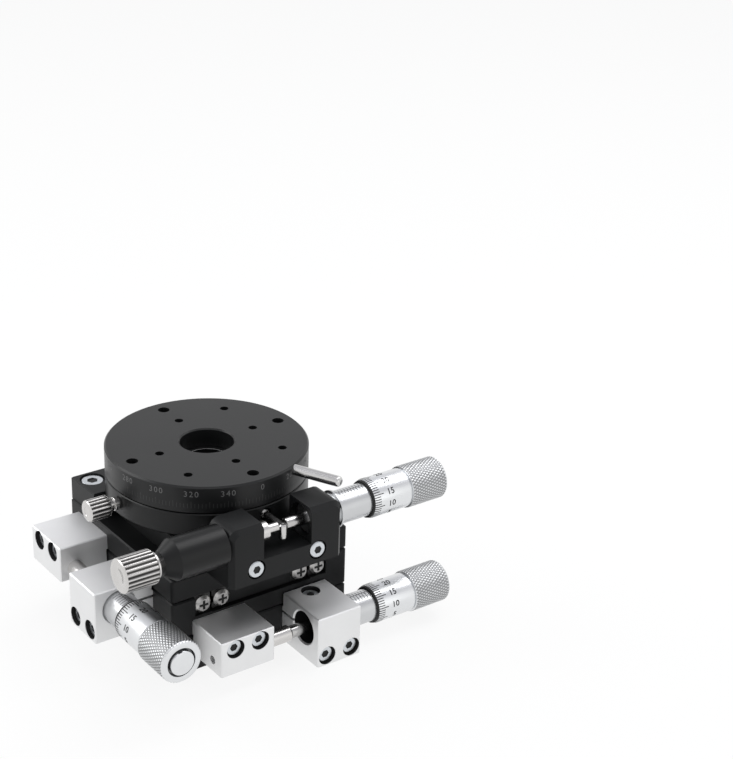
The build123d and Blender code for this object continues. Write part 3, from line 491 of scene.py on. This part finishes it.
# %% [markdown]
# The knurl on a thimble is two sets of straight vee grooves rolled in at 30 degrees to the axis,
# one left-hand and one right-hand. Where they cross, small pyramids stay. At this size it has to
# be real geometry: a bump would leave the outline smooth. A function gives the groove depth at
# any angle and height, and the turned surface subtracts it from its radius.

# %% The knurl
GRIP_RADIUS = 6.35
GRIP_STARTS = 42
KNURL_DEPTH = 0.17
KNURL_ANGLE = 30.0
KNURL_SLOPE = 2.6


def groove(t, slope):
    """Depth of a groove, 1 at its bottom, at a position in pitches, by the slope of its sides."""
    return max(0.0, 1.0 - slope * abs(t - floor(t) - 0.5))


def knurl(angle, height):
    lead = height * tan(radians(KNURL_ANGLE)) / (2 * pi * GRIP_RADIUS)
    share = angle / (2 * pi)
    left_hand = groove(GRIP_STARTS * (share + lead), KNURL_SLOPE)
    right_hand = groove(GRIP_STARTS * (share - lead), KNURL_SLOPE)
    return KNURL_DEPTH * max(left_hand, right_hand)


print("knurl pitch", round(2 * pi * GRIP_RADIUS / GRIP_STARTS, 2), "mm")

# %% [markdown]
# A thimble is one turned outline: a bevelled edge that carries the scale, a plain barrel, a
# narrow neck, the knurled grip and an end cap set in a groove. The outline is listed from the
# edge and from the end, because the length between them is what the grip fills. Only the grip
# needs dense rows.

# %% The thimbles
THIMBLE_LENGTH = 26.8
THIMBLE_RADIUS = 5.9
CAP_RADIUS = 3.6
CAP_RISE = 0.8
GRIP_ROWS = 100
COLUMNS_PER_START = 6
THIMBLE_EDGE = [
    (5.02, 6.0), (5.02, 0.05), (5.08, 0.0), (5.44, 0.0), (5.5, 0.06), (5.88, 1.36),
    (THIMBLE_RADIUS, 1.42), (THIMBLE_RADIUS, 13.5), (5.84, 13.56), (5.6, 13.58), (5.6, 13.98),
    (5.95, 14.02), (6.2, 14.1),
]
THIMBLE_END = [
    (5.95, -0.06), (5.86, 0.0), (4.36, 0.0), (4.3, -0.06), (4.28, -1.5), (4.2, -1.6),
    (3.65, -1.6), (CAP_RADIUS, -1.55), (CAP_RADIUS, 0.46), (3.56, 0.54), (3.32, 0.77),
    (3.24, CAP_RISE), (0.001, CAP_RISE),
]


def thimble_rows(out):
    """Outline of a thimble whose edge is at a height, and where its knurl starts and stops."""
    end = out + THIMBLE_LENGTH
    start, stop = out + 14.1, end - 0.5
    bevel = 0.15
    rows = [(radius, out + rise) for radius, rise in THIMBLE_EDGE]
    for step in range(GRIP_ROWS + 1):
        rows.append((GRIP_RADIUS, start + bevel + (stop - start - bevel) * step / GRIP_ROWS))
    rows += [(radius, end + rise) for radius, rise in THIMBLE_END]
    return rows, start + 0.1, stop + 0.01


def make_thimble(name, node, out, place, material, body):
    """A knurled thimble that stands for its plain node."""
    rows, low, high = thimble_rows(out)

    def cut(angle, radius, height):
        on_grip = low < height < high and radius > GRIP_RADIUS - 0.05
        return knurl(angle, height) if on_grip else 0.0

    points, faces = spun(rows, GRIP_STARTS * COLUMNS_PER_START, cut)
    made = piece(name, points, faces, place, material, body, sharp=42.0)
    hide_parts(node)


def grip_chrome(name, axis, out, place):
    """Satin chrome with painted shade in the grooves between the pyramids of one thimble's grip.
    """
    low, high = thimble_rows(out)[1:]
    direction = tuple(place.col[2][:3])
    grip = (tuple(place.translation), direction, GRIP_RADIUS, KNURL_DEPTH, low, high)
    return turned_metal(name, axis, 0.76, 0.3, warm=-0.015, grip=grip, valley_shade=0.7)


# Each head: its name, its axis, the height of its thimble's edge, its frame, and the body that
# carries its sleeve.
HEADS = [
    ("x", "X", 7.8, x_head, "base"),
    ("y", "Y", 7.3, y_head, "x_carriage"),
    ("turn", "X", 10.9, turn_head, "y_carriage"),
]
for name, axis, out, place, carrier in HEADS:
    thimble = f"{name}_thimble"
    material = grip_chrome(f"{name}_grip_chrome", axis, out, place)
    make_thimble(f"{name}_thimble_knurled", thimble, out, place, material, thimble)
print("thimbles made:", len(HEADS))

# %% [markdown]
# Engraved marks are thin strips that follow the round surface. They stand two hundredths of a
# millimetre proud, so that they never fight with it. A strip is cut into short steps both ways,
# because a long flat face would sink below a round or bevelled surface between its corners. Marks
# of one scale are joined into one mesh.

# %% Strips on a round surface
LIFT = 0.02
STRIP_DEGREES = 4.0
STRIP_STEPS = 8


def strip(points, faces, radius, angles, heights):
    """Adds a strip between two angles (degrees) and two heights to lists of points and faces."""
    a0, a1 = angles
    h0, h1 = heights
    across = max(1, int(abs(a1 - a0) / STRIP_DEGREES))
    base = len(points)
    for i in range(across + 1):
        angle = radians(a0 + (a1 - a0) * i / across)
        for j in range(STRIP_STEPS + 1):
            height = h0 + (h1 - h0) * j / STRIP_STEPS
            r = radius(height) + LIFT
            points.append((r * cos(angle), r * sin(angle), height))
    for i in range(across):
        for j in range(STRIP_STEPS):
            a = base + i * (STRIP_STEPS + 1) + j
            b = a + STRIP_STEPS + 1
            faces.append((a, b, b + 1, a + 1))


def straight(radius):
    """A surface with the same radius at every height."""
    return lambda height: radius


def bevelled(out):
    """The outside of a thimble whose edge is at a height: a cone, then a cylinder."""
    return lambda height: min(THIMBLE_RADIUS, 5.5 + 0.4 * max(0.0, height - out - 0.06) / 1.3)


print("strips stand", LIFT, "mm proud")

# %% [markdown]
# Numbers are Blender text turned into a mesh and bent round the surface. Text comes as a few
# large triangles, so it is first sliced both ways, or its middle would sink below the round
# surface. On a thimble a number runs outwards along the axis, with its top towards the next
# higher number. On the dial it stands upright and runs round the edge.

# %% Numbers on a round surface
SLICE = 0.35
SLICES = 8


def glyphs(text, size, spacing, weight):
    """The sliced faces of a text, centred, in millimetres."""
    data = bpy.data.curves.new("glyphs", "FONT")
    data.body = text
    data.size = size
    data.align_x = "CENTER"
    data.align_y = "CENTER"
    data.space_character = spacing
    data.resolution_u = 3
    data.offset = weight
    holder = bpy.data.objects.new("glyphs", data)
    mesh = bpy.data.meshes.new_from_object(holder)
    shape = bmesh.new()
    shape.from_mesh(mesh)
    bmesh.ops.triangulate(shape, faces=shape.faces[:])
    for step in range(-SLICES, SLICES + 1):
        for normal in ((1.0, 0.0, 0.0), (0.0, 1.0, 0.0)):
            everything = shape.verts[:] + shape.edges[:] + shape.faces[:]
            cut = tuple(SLICE * step * part for part in normal)
            bmesh.ops.bisect_plane(shape, geom=everything, plane_co=cut, plane_no=normal)
    points = [(v.co.x, v.co.y) for v in shape.verts]
    faces = [tuple(v.index for v in face.verts) for face in shape.faces]
    shape.free()
    bpy.data.objects.remove(holder)
    bpy.data.curves.remove(data)
    bpy.data.meshes.remove(mesh)
    return points, faces


def add_number(points, faces, number, size, angle, height, radius, along_axis,
               spacing=1.0, weight=0.0):
    """Bends a number on to the surface at an angle (degrees) and a height."""
    flat, cells = glyphs(str(number), size, spacing, weight)
    base = len(points)
    for x, y in flat:
        h = height + (x if along_axis else y)
        r = radius(h) + LIFT + 0.01
        around = -y / r if along_axis else x / r
        a = radians(angle) + around
        points.append((r * cos(a), r * sin(a), h))
    faces.extend(tuple(base + i for i in cell) for cell in cells)


print("numbers are sliced every", SLICE, "mm")

# %% [markdown]
# A micrometer head has two scales. The thimble's edge carries fifty divisions, numbered every
# five, and each is a hundredth of a millimetre. The sleeve carries a line along it, with a mark
# for each millimetre on one side and for each half on the other. Both are filled black.

# %% Scales of the micrometer heads
DIVISIONS = 50
SLEEVE_RADIUS = 4.95
HALF_MILLIMETRE = 0.5


def thimble_scale(name, out, place, body, angle_of_15):
    """Fifty divisions and their numbers round a thimble's edge."""
    points, faces = [], []
    radius = bevelled(out)
    half = degrees(0.12 / 5.7)
    for division in range(DIVISIONS):
        angle = angle_of_15 - (division - 15) * 360.0 / DIVISIONS
        numbered = division % 5 == 0
        reach = 3.9 if numbered else 2.7
        strip(points, faces, radius, (angle - half, angle + half), (out + 0.4, out + reach))
        if numbered:
            add_number(points, faces, division, 2.6, angle, out + 6.5, radius, True, weight=0.035)
    piece(name, points, faces, place, black_fill_and_shade, body)


def sleeve_scale(name, out, place, body, start, line_angle=4.0):
    """The line along a sleeve, with millimetre marks in front of it and half marks behind."""
    points, faces = [], []
    radius = straight(SLEEVE_RADIUS)
    half = degrees(0.06 / SLEEVE_RADIUS)
    strip(points, faces, radius, (line_angle - half, line_angle + half), (start, out + 6.0))
    count = int((out + 5.6 - start) / HALF_MILLIMETRE)
    half_mark = (line_angle - 16.0, line_angle)
    whole_mark = (line_angle, line_angle + 28.0)
    for index in range(1, count):
        height = start + index * HALF_MILLIMETRE
        span = half_mark if index % 2 else whole_mark
        strip(points, faces, radius, span, (height - 0.08, height + 0.08))
    piece(name, points, faces, place, black_fill_and_shade, body)


# Where the 15 of a thimble stands, and where the line of a sleeve starts.
NUMBER_ANGLE = {"x": 43.0, "y": 36.0, "turn": 58.0}
LINE_START = {"x": 0.3, "y": 0.3, "turn": 0.9}
for name, axis, out, place, carrier in HEADS:
    thimble_scale(f"{name}_thimble_scale", out, place, f"{name}_thimble", NUMBER_ANGLE[name])
for name, axis, out, place, carrier in HEADS:
    sleeve_scale(f"{name}_sleeve_scale", out, place, carrier, LINE_START[name])
print("scales made, with", DIVISIONS, "divisions each")

# %% [markdown]
# Two marks of painted shade give a thimble its depth. Where its edge stands over the sleeve, the
# shade in the gap is painted as a black line all round, made as a thin turned ring. Its end cap
# has a small cross hole in the rim. Only the hole's mouth shows, so a black patch that is bent to
# the rim paints the shade in it.

# %% Painted shade on the thimbles
MOUTH_ROWS, MOUTH_COLUMNS = 7, 9


def edge_ring(name, out, place, body):
    """Painted shade: the dark line in the gap where a thimble's edge stands over its sleeve."""
    rows = [(5.06, out - 0.02), (5.42, out - 0.02), (5.515, out + 0.04), (5.7, out + 0.62)]
    points, faces = spun(rows, 160)
    piece(name, points, faces, place, black_fill_and_shade, body)


def cap_hole(name, out, place, body, angle=10.0):
    """Painted shade: the dark mouth of the small cross hole in an end cap's rim, round and bent to
    the rim.
    """
    points, faces = [], []
    middle = out + THIMBLE_LENGTH + 0.32
    rim = CAP_RADIUS + 0.015
    for row in range(MOUTH_ROWS):
        height = middle + 0.1 * (row - 3)
        reach = degrees(0.75 / CAP_RADIUS) * (1.0 - ((row - 3) / 3.4) ** 2) ** 0.5
        for column in range(MOUTH_COLUMNS):
            a = radians(angle + reach * (column - 4) / 4)
            points.append((rim * cos(a), rim * sin(a), height))
    for row in range(MOUTH_ROWS - 1):
        for column in range(MOUTH_COLUMNS - 1):
            a = MOUTH_COLUMNS * row + column
            faces.append((a, a + 1, a + 1 + MOUTH_COLUMNS, a + MOUTH_COLUMNS))
    piece(name, points, faces, place, black_fill_and_shade, body)


for name, axis, out, place, carrier in HEADS:
    edge_ring(f"{name}_edge_ring", out, place, f"{name}_thimble")
for name, axis, out, place, carrier in HEADS:
    cap_hole(f"{name}_cap_hole", out, place, f"{name}_thimble")
print("dark marks made on", len(HEADS), "thimbles")

# %% [markdown]
# The table's edge carries a full circle in degrees, numbered every 20, in pale fill. Zero faces
# the front and the values grow counter-clockwise from above. A row of fine strokes, one every two
# degrees, stands below the numbers. The strokes are fainter, as they are on the real dial.

# %% The dial's scale
DIAL_TOP = 55.2
DIAL_RADIUS = 30.0
ZERO_ANGLE = -90
edge = straight(DIAL_RADIUS)
points, faces = [], []
for value in range(0, 360, 20):
    angle = value + ZERO_ANGLE
    add_number(points, faces, value, 2.5, angle, DIAL_TOP - 2.35, edge, False, spacing=1.25)
piece("dial_numbers", points, faces, WHOLE, white_fill, "dial")
points, faces = [], []
half = degrees(0.05 / DIAL_RADIUS)
for value in range(0, 360, 2):
    angle = value + ZERO_ANGLE
    top = DIAL_TOP - (4.6 if value % 10 == 0 else 5.2)
    strip(points, faces, edge, (angle - half, angle + half), (DIAL_TOP - 6.6, top))
piece("dial_strokes", points, faces, WHOLE, faint_fill, "dial")
print("dial scale made")

# %% [markdown]
# The small knobs are turned and then cut with straight grooves. A rounded groove profile and a
# small bevel at both ends give each rib its own highlight. The same helper makes the plunger's
# knob, the ring clamp's knob and the two thumb screws of the slide locks.

# %% Grooved knobs
RIB_DEPTH = 0.34
RIB_SLOPE = 2.4
COLUMNS_PER_RIB = 10


def rib_nickel(name, axis, radius, length, start, place):
    """Nickel plate with painted shade in the grooves between the ribs of one knob."""
    direction = tuple(place.col[2][:3])
    low, high = start + 0.4, start + length - 0.4
    grip = (tuple(place.translation), direction, radius, RIB_DEPTH, low, high)
    return turned_metal(name, axis, 0.6, 0.24, 0.002, 0.02, grip, valley_shade=1.0)


def make_knob(name, node, radius, length, ribs, start, place, material, body, stem):
    """A grooved knob from its start outwards, with a stem towards the axis origin."""
    end = start + length
    low, high = start + 0.42, end - 0.42
    rows = stem + [
        (radius - 0.6, start), (radius - 0.42, start + 0.04), (radius - 0.1, start + 0.36),
    ]
    rows += [(radius, low + (high - low) * step / 6) for step in range(7)]
    rows += [
        (radius - 0.1, end - 0.36), (radius - 0.42, end - 0.05), (radius - 0.6, end),
        (radius * 0.45, end), (radius * 0.42, end - 0.12), (radius * 0.2, end - 0.2),
        (0.001, end - 0.2),
    ]

    def cut(angle, r, height):
        if r <= radius - 0.05:
            return 0.0
        return RIB_DEPTH * groove(ribs * angle / (2 * pi), RIB_SLOPE) ** 0.8

    points, faces = spun(rows, ribs * COLUMNS_PER_RIB, cut)
    made = piece(name, points, faces, place, material, body, sharp=40.0)
    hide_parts(node)


# Outlines of the stems, from their inner end outwards.
plunger_stem = [
    (0.001, 13.63), (1.6, 13.63), (1.6, 20.5), (3.75, 20.5), (3.9, 20.65), (3.9, 21.25),
    (3.75, 21.4),
]
clamp_stem = [
    (0.001, 24.08), (1.45, 24.08), (1.45, 30.4), (1.9, 30.4), (2.0, 30.5), (2.0, 31.5),
    (1.9, 31.6), (1.45, 31.6), (1.45, 32.1), (1.9, 32.1), (2.0, 32.2), (2.0, 33.3),
]
lock_stem = [(0.001, 24.5), (1.5, 24.5), (1.5, 33.4)]

# Each knob: its name, the node that it replaces and rides with, its finish, its axis, its radius
# and length, its number of ribs, where it starts on the axis, its frame and its stem.
KNOBS = [
    ("plunger_knob_ribbed", "plunger_knob", "plunger_nickel", "X", 5.0, 10.2, 22, 21.4,
     plunger_place, plunger_stem),
    ("clamp_knob_ribbed", "clamp_knob", "clamp_nickel", "X", 3.3, 6.8, 16, 33.3,
     clamp_place, clamp_stem),
    ("x_lock_knob", "x_lock_screw", "x_lock_nickel", "Y", 4.5, 6.0, 24, 33.4,
     x_lock_place, lock_stem),
    ("y_lock_knob", "y_lock_screw", "y_lock_nickel", "X", 4.5, 6.0, 24, 33.4,
     y_lock_place, lock_stem),
]
for name, node, finish, axis, radius, length, ribs, start, place, stem in KNOBS:
    material = rib_nickel(finish, axis, radius, length, start, place)
    make_knob(name, node, radius, length, ribs, start, place, material, node, stem)
print("knobs made:", len(KNOBS))

# %% [markdown]
# Holes on this part are its darkest marks, because little light reaches into them. A solid shows
# them in its own pale finish, so each gets a thin black lining as painted shade. Three shapes
# are enough: a flat patch, a flat ring, and the wall of a round hole. All three are drawn from a
# centre and the way that the hole faces.

# %% Painted shade in holes
ROUND = 40


def across_axis(way):
    """The two directions across an axis, and the axis itself, as vectors."""
    z = Vector(way)
    x = Vector((0.0, 0.0, 1.0)) if abs(z.z) < 0.5 else Vector((1.0, 0.0, 0.0))
    return x, z.cross(x), z


def join_pairs(faces, base):
    """Adds the faces of a closed band, whose points lie in pairs from a base."""
    for i in range(ROUND):
        a, b = base + 2 * i, base + 2 * ((i + 1) % ROUND)
        faces.append((a, b, b + 1, a + 1))


def add_patch(points, faces, centre, way, outline, depth):
    """Adds a flat fan with the given outline, a depth below the centre."""
    x, y, z = across_axis(way)
    middle = Vector(centre) - z * depth
    base = len(points)
    points.append(tuple(middle))
    points.extend(tuple(middle + x * u + y * v) for u, v in outline)
    count = len(outline)
    faces.extend((base, base + 1 + i, base + 1 + (i + 1) % count) for i in range(count))


def add_ring(points, faces, centre, way, inner, outer, depth):
    """Adds a flat ring round an axis, a depth below the centre."""
    x, y, z = across_axis(way)
    middle = Vector(centre) - z * depth
    base = len(points)
    for i in range(ROUND):
        u, v = cos(2 * pi * i / ROUND), sin(2 * pi * i / ROUND)
        points.append(tuple(middle + (x * u + y * v) * inner))
        points.append(tuple(middle + (x * u + y * v) * outer))
    join_pairs(faces, base)


def add_wall(points, faces, centre, way, radius, depth, height):
    """Adds the wall of a round hole, from a depth below the centre to a height over it."""
    x, y, z = across_axis(way)
    base = len(points)
    for i in range(ROUND):
        across = (x * cos(2 * pi * i / ROUND) + y * sin(2 * pi * i / ROUND)) * radius
        points.append(tuple(Vector(centre) + across - z * depth))
        points.append(tuple(Vector(centre) + across + z * height))
    join_pairs(faces, base)


print("linings have", ROUND, "sides")

# %% [markdown]
# A socket screw has a hexagon in its head, and a pan head has a cross. Each gets a black patch
# low in its recess as painted shade. A sunk socket screw also gets painted shade on the floor of
# its counterbore, as a black ring round it, and on its wall. All marks on one body are one mesh.

# %% Painted shade in the screws' recesses
def hexagon(radius):
    return [(radius * cos(pi * i / 3), radius * sin(pi * i / 3)) for i in range(6)]


def cross(reach, half):
    corner = [(reach, half), (half, half), (half, reach)]
    quarter = corner + [(-v, u) for u, v in corner]
    return quarter + [(-u, -v) for u, v in quarter]


def screw_marks(name, body, sockets, pans):
    """One mesh with the painted shade in the recesses of all screws that ride on a body."""
    points, faces = [], []
    for centre, way, head, sunk in sockets:
        add_patch(points, faces, centre, way, hexagon(head * 0.54), 0.3)
        if sunk:
            add_ring(points, faces, centre, way, head + 0.01, head + 0.34, 0.4)
            add_wall(points, faces, centre, way, head + 0.335, 0.4, sunk)
    for centre, way in pans:
        add_patch(points, faces, centre, way, cross(1.45, 0.39), 0.16)
    piece(name, points, faces, WHOLE, black_fill_and_shade, body)


M3, M4 = 2.55, 3.45                     # radii of the socket heads
DEEP, SHALLOW, PROUD = 0.95, 0.05, 0.0  # how far a head lies below its face
PAN_OUT = 30.2                          # tops of the rails' end screws, from the middle
X_RAILS, Y_RAILS = 8.8, 20.9            # heights of the two pairs of rails
FIXED, MOVING = 19.7, 13.5              # how far a fixed or a moving rail is from the middle
SIDES = (-1, 1)


def x_rail_ends(aside):
    return [((sx * PAN_OUT, sy * aside, X_RAILS), RIGHT if sx > 0 else LEFT)
            for sx in SIDES for sy in SIDES]


def y_rail_ends(aside):
    return [((sx * aside, sy * PAN_OUT, Y_RAILS), BACK if sy > 0 else FRONT)
            for sx in SIDES for sy in SIDES]


base_sockets = [
    ((10.45, -47.5, 3.2), FRONT, M3, DEEP), ((18.95, -47.5, 3.2), FRONT, M3, DEEP),
    ((14.7, -33.5, 14.9), UP, M3, DEEP),
]
middle_sockets = [
    ((-18.75, -44.4, 14.0), FRONT, M3, DEEP), ((-10.55, -44.4, 14.0), FRONT, M3, DEEP),
    ((-47.5, -7.45, 15.3), LEFT, M3, DEEP), ((-47.5, -15.95, 15.3), LEFT, M3, DEEP),
    ((-33.5, -11.7, 27.0), UP, M3, DEEP),
]
top_sockets = [
    ((-44.4, 20.25, 26.1), LEFT, M3, DEEP), ((-44.4, 12.05, 26.1), LEFT, M3, DEEP),
    ((-10.3, -43.1, 35.6), FRONT, M3, PROUD), ((10.3, -43.1, 35.6), FRONT, M3, PROUD),
    ((-25.0, 25.0, 38.2), UP, M4, SHALLOW), ((25.0, 25.0, 38.2), UP, M4, SHALLOW),
    ((-18.5, -25.0, 38.2), UP, M4, SHALLOW), ((18.5, -25.0, 38.2), UP, M4, SHALLOW),
]
x_lock_screws = [((sx * 12.0, 34.0, 14.85), BACK) for sx in SIDES]
y_lock_screws = [((34.0, sy * 12.0, 26.95), RIGHT) for sy in SIDES]
middle_pans = x_rail_ends(MOVING) + y_rail_ends(FIXED) + x_lock_screws
top_pans = y_rail_ends(MOVING) + y_lock_screws
screw_marks("base_screw_painted_shade", "base", base_sockets, x_rail_ends(FIXED))
screw_marks("middle_screw_painted_shade", "x_carriage", middle_sockets, middle_pans)
screw_marks("top_screw_painted_shade", "y_carriage", top_sockets, top_pans)
print("screw recesses made:", len(base_sockets + middle_sockets + top_sockets), "sockets")

# %% [markdown]
# A head block is bored right through, and the sleeve fills the bore from one end only. The other
# end is open round the thin spindle, and in the photograph it is nearly black. A black wall just
# inside the bore and a black ring round the spindle, deep in it, paint that shade.

# %% Painted shade in the bores behind the spindles
BORE_RADIUS = 4.93
BORE_DEPTH = 5.8
MOUTH = 0.45
SPINDLE_RADIUS = 2.1


def bore_shade(name, body, centre, way):
    """Painted shade: the black wall of a head block's bore and the ring round the spindle at its
    end.
    """
    points, faces = [], []
    add_wall(points, faces, centre, way, BORE_RADIUS, BORE_DEPTH, -MOUTH)
    add_ring(points, faces, centre, way, SPINDLE_RADIUS, BORE_RADIUS, BORE_DEPTH)
    piece(name, points, faces, WHOLE, black_fill_and_shade, body)


bore_shade("x_bore_shade", "base", (7.2, -HEAD_OUT, X_HEAD_HEIGHT), LEFT)
bore_shade("y_bore_shade", "x_carriage", (-HEAD_OUT, -4.2, Y_HEAD_HEIGHT), BACK)
print("bores shaded to", BORE_DEPTH, "mm")

# %% [markdown]
# Deep in the dial's bore a narrow pale edge catches the light. It is made as a thin flat ring in
# the finish of the pale blocks, because the dial itself has one finish all over.

# %% Bare edge in the dial's bore
EDGE_DEPTH = 6.0
EDGE_INNER, EDGE_OUTER = 6.5, 6.68
points, faces = [], []
add_ring(points, faces, (0.0, 0.0, DIAL_TOP - EDGE_DEPTH), UP, EDGE_INNER, EDGE_OUTER, -LIFT)
piece("dial_bore_edge", points, faces, WHOLE, block_silver, "dial")
print("bore edge made,", round(EDGE_OUTER - EDGE_INNER, 2), "mm wide")

# %% [markdown]
# The surroundings are a product photographer's. A light ray that comes straight from the camera,
# or by way of metal or glass, shows the background. Any other ray only lights the object. Light
# Path tells the two apart, so the background can be white without more light on the object. The
# floor mixes a white glow into its own finish for the first kind of ray. The share stays below 1,
# because the rest of the mix is what keeps the object's shadow.

# %% Floor
FLOOR_HALF = 3.0
FLOOR_DEPTH = 0.0003
GLOW_SHARE = 0.87
WHITE = (1.0, 1.0, 1.0, 1.0)


def shown(nodes):
    """1 for a ray from the camera, from a mirror or through glass, and 0 for any other."""
    camera_ray, mirror_ray, glass_ray = [
        nodes.node("ShaderNodeLightPath", output=f"Is {kind} Ray")
        for kind in ("Camera", "Glossy", "Transmission")
    ]
    return camera_ray.larger(mirror_ray).larger(glass_ray)


corners = [(-1, -1), (1, -1), (1, 1), (-1, 1)]
floor_mesh = bpy.data.meshes.new("floor")
floor_mesh.from_pydata(
    [(x * FLOOR_HALF, y * FLOOR_HALF, -FLOOR_DEPTH) for x, y in corners], [], [(0, 1, 2, 3)]
)
floor_object = bpy.data.objects.new("floor", floor_mesh)
bpy.context.scene.collection.objects.link(floor_object)
floor_white = Finish("floor_white")
floor_white.set(colour=(0.93, 0.93, 0.93, 1.0), roughness=0.8, specular=0.1)
lit = Value(floor_white, floor_white.shader.outputs[0])
glow = floor_white.node("ShaderNodeEmission", sockets={"Color": WHITE, "Strength": 1.0})
share = shown(floor_white) * GLOW_SHARE
mixed = floor_white.node("ShaderNodeMixShader", sockets=[share, lit, glow])
floor_white.feed(floor_white.tree.nodes["Material Output"].inputs["Surface"], mixed)
floor_mesh.materials.append(floor_white.material)
print("floor made,", 2 * FLOOR_HALF, "m wide")

# %% [markdown]
# The world lights the object with a soft, even, very slightly blue light. What the camera and the
# metal see of it is white all round, and turns pale grey overhead, as a studio's ceiling is
# darker than its walls. Without that grey, every face of metal that looks up would mirror pure
# white and lose its form. A ramp over the height of the direction does it.

# %% World
world = bpy.data.worlds.new("studio")
world.use_nodes = True
bpy.context.scene.world = world
world.node_tree.nodes.clear()
studio = Nodes(world.node_tree)
direction = studio.node("ShaderNodeTexCoord", output="Generated")
height = studio.node("ShaderNodeSeparateXYZ", sockets=[direction], output="Z")
ceiling_stops = [(0.3, WHITE), (0.7, (0.66, 0.66, 0.69, 1.0))]
ceiling = studio.node("ShaderNodeValToRGB", {"stops": ceiling_stops}, [height])
soft = studio.node(
    "ShaderNodeBackground", sockets={"Color": (0.97, 0.98, 1.0, 1.0), "Strength": 0.5}
)
seen = studio.node("ShaderNodeBackground", sockets={"Color": ceiling, "Strength": 1.0})
either = studio.node("ShaderNodeMixShader", sockets=[shown(studio), soft, seen])
studio.node("ShaderNodeOutputWorld", sockets={"Surface": either})
print("world made with", len(world.node_tree.nodes), "nodes")

# %% [markdown]
# Four broad square lamps shape the object. The strongest two stand high at the right and, lower,
# behind at the left. A weaker one hangs overhead, and the weakest, in front, opens the shadows.
# All look at a point inside the stage. The view transform is Standard, so that a colour renders
# about as it is written.

# %% Lamps
AIM = (0, 0, 0.03)


def lamp(name, place, size, power):
    """A soft square lamp that looks at the stage, in metres and watts."""
    data = bpy.data.lights.new(name, "AREA")
    data.shape = "SQUARE"
    data.size = size
    data.energy = power
    made = bpy.data.objects.new(name, data)
    made.location = place
    look = Vector(AIM) - Vector(place)
    made.rotation_euler = look.to_track_quat("-Z", "Y").to_euler()
    bpy.context.scene.collection.objects.link(made)


lamp("right", (0.5, 0.0, 0.72), size=0.5, power=2.6)
lamp("left", (-0.55, 0.45, 0.5), size=0.5, power=2.6)
lamp("top", (-0.05, -0.05, 0.8), size=0.45, power=1.3)
lamp("front", (0.1, -0.95, 0.3), size=0.7, power=0.7)
bpy.context.scene.view_settings.view_transform = "Standard"
print("lamps made:", len(bpy.data.lights))

# %% [markdown]
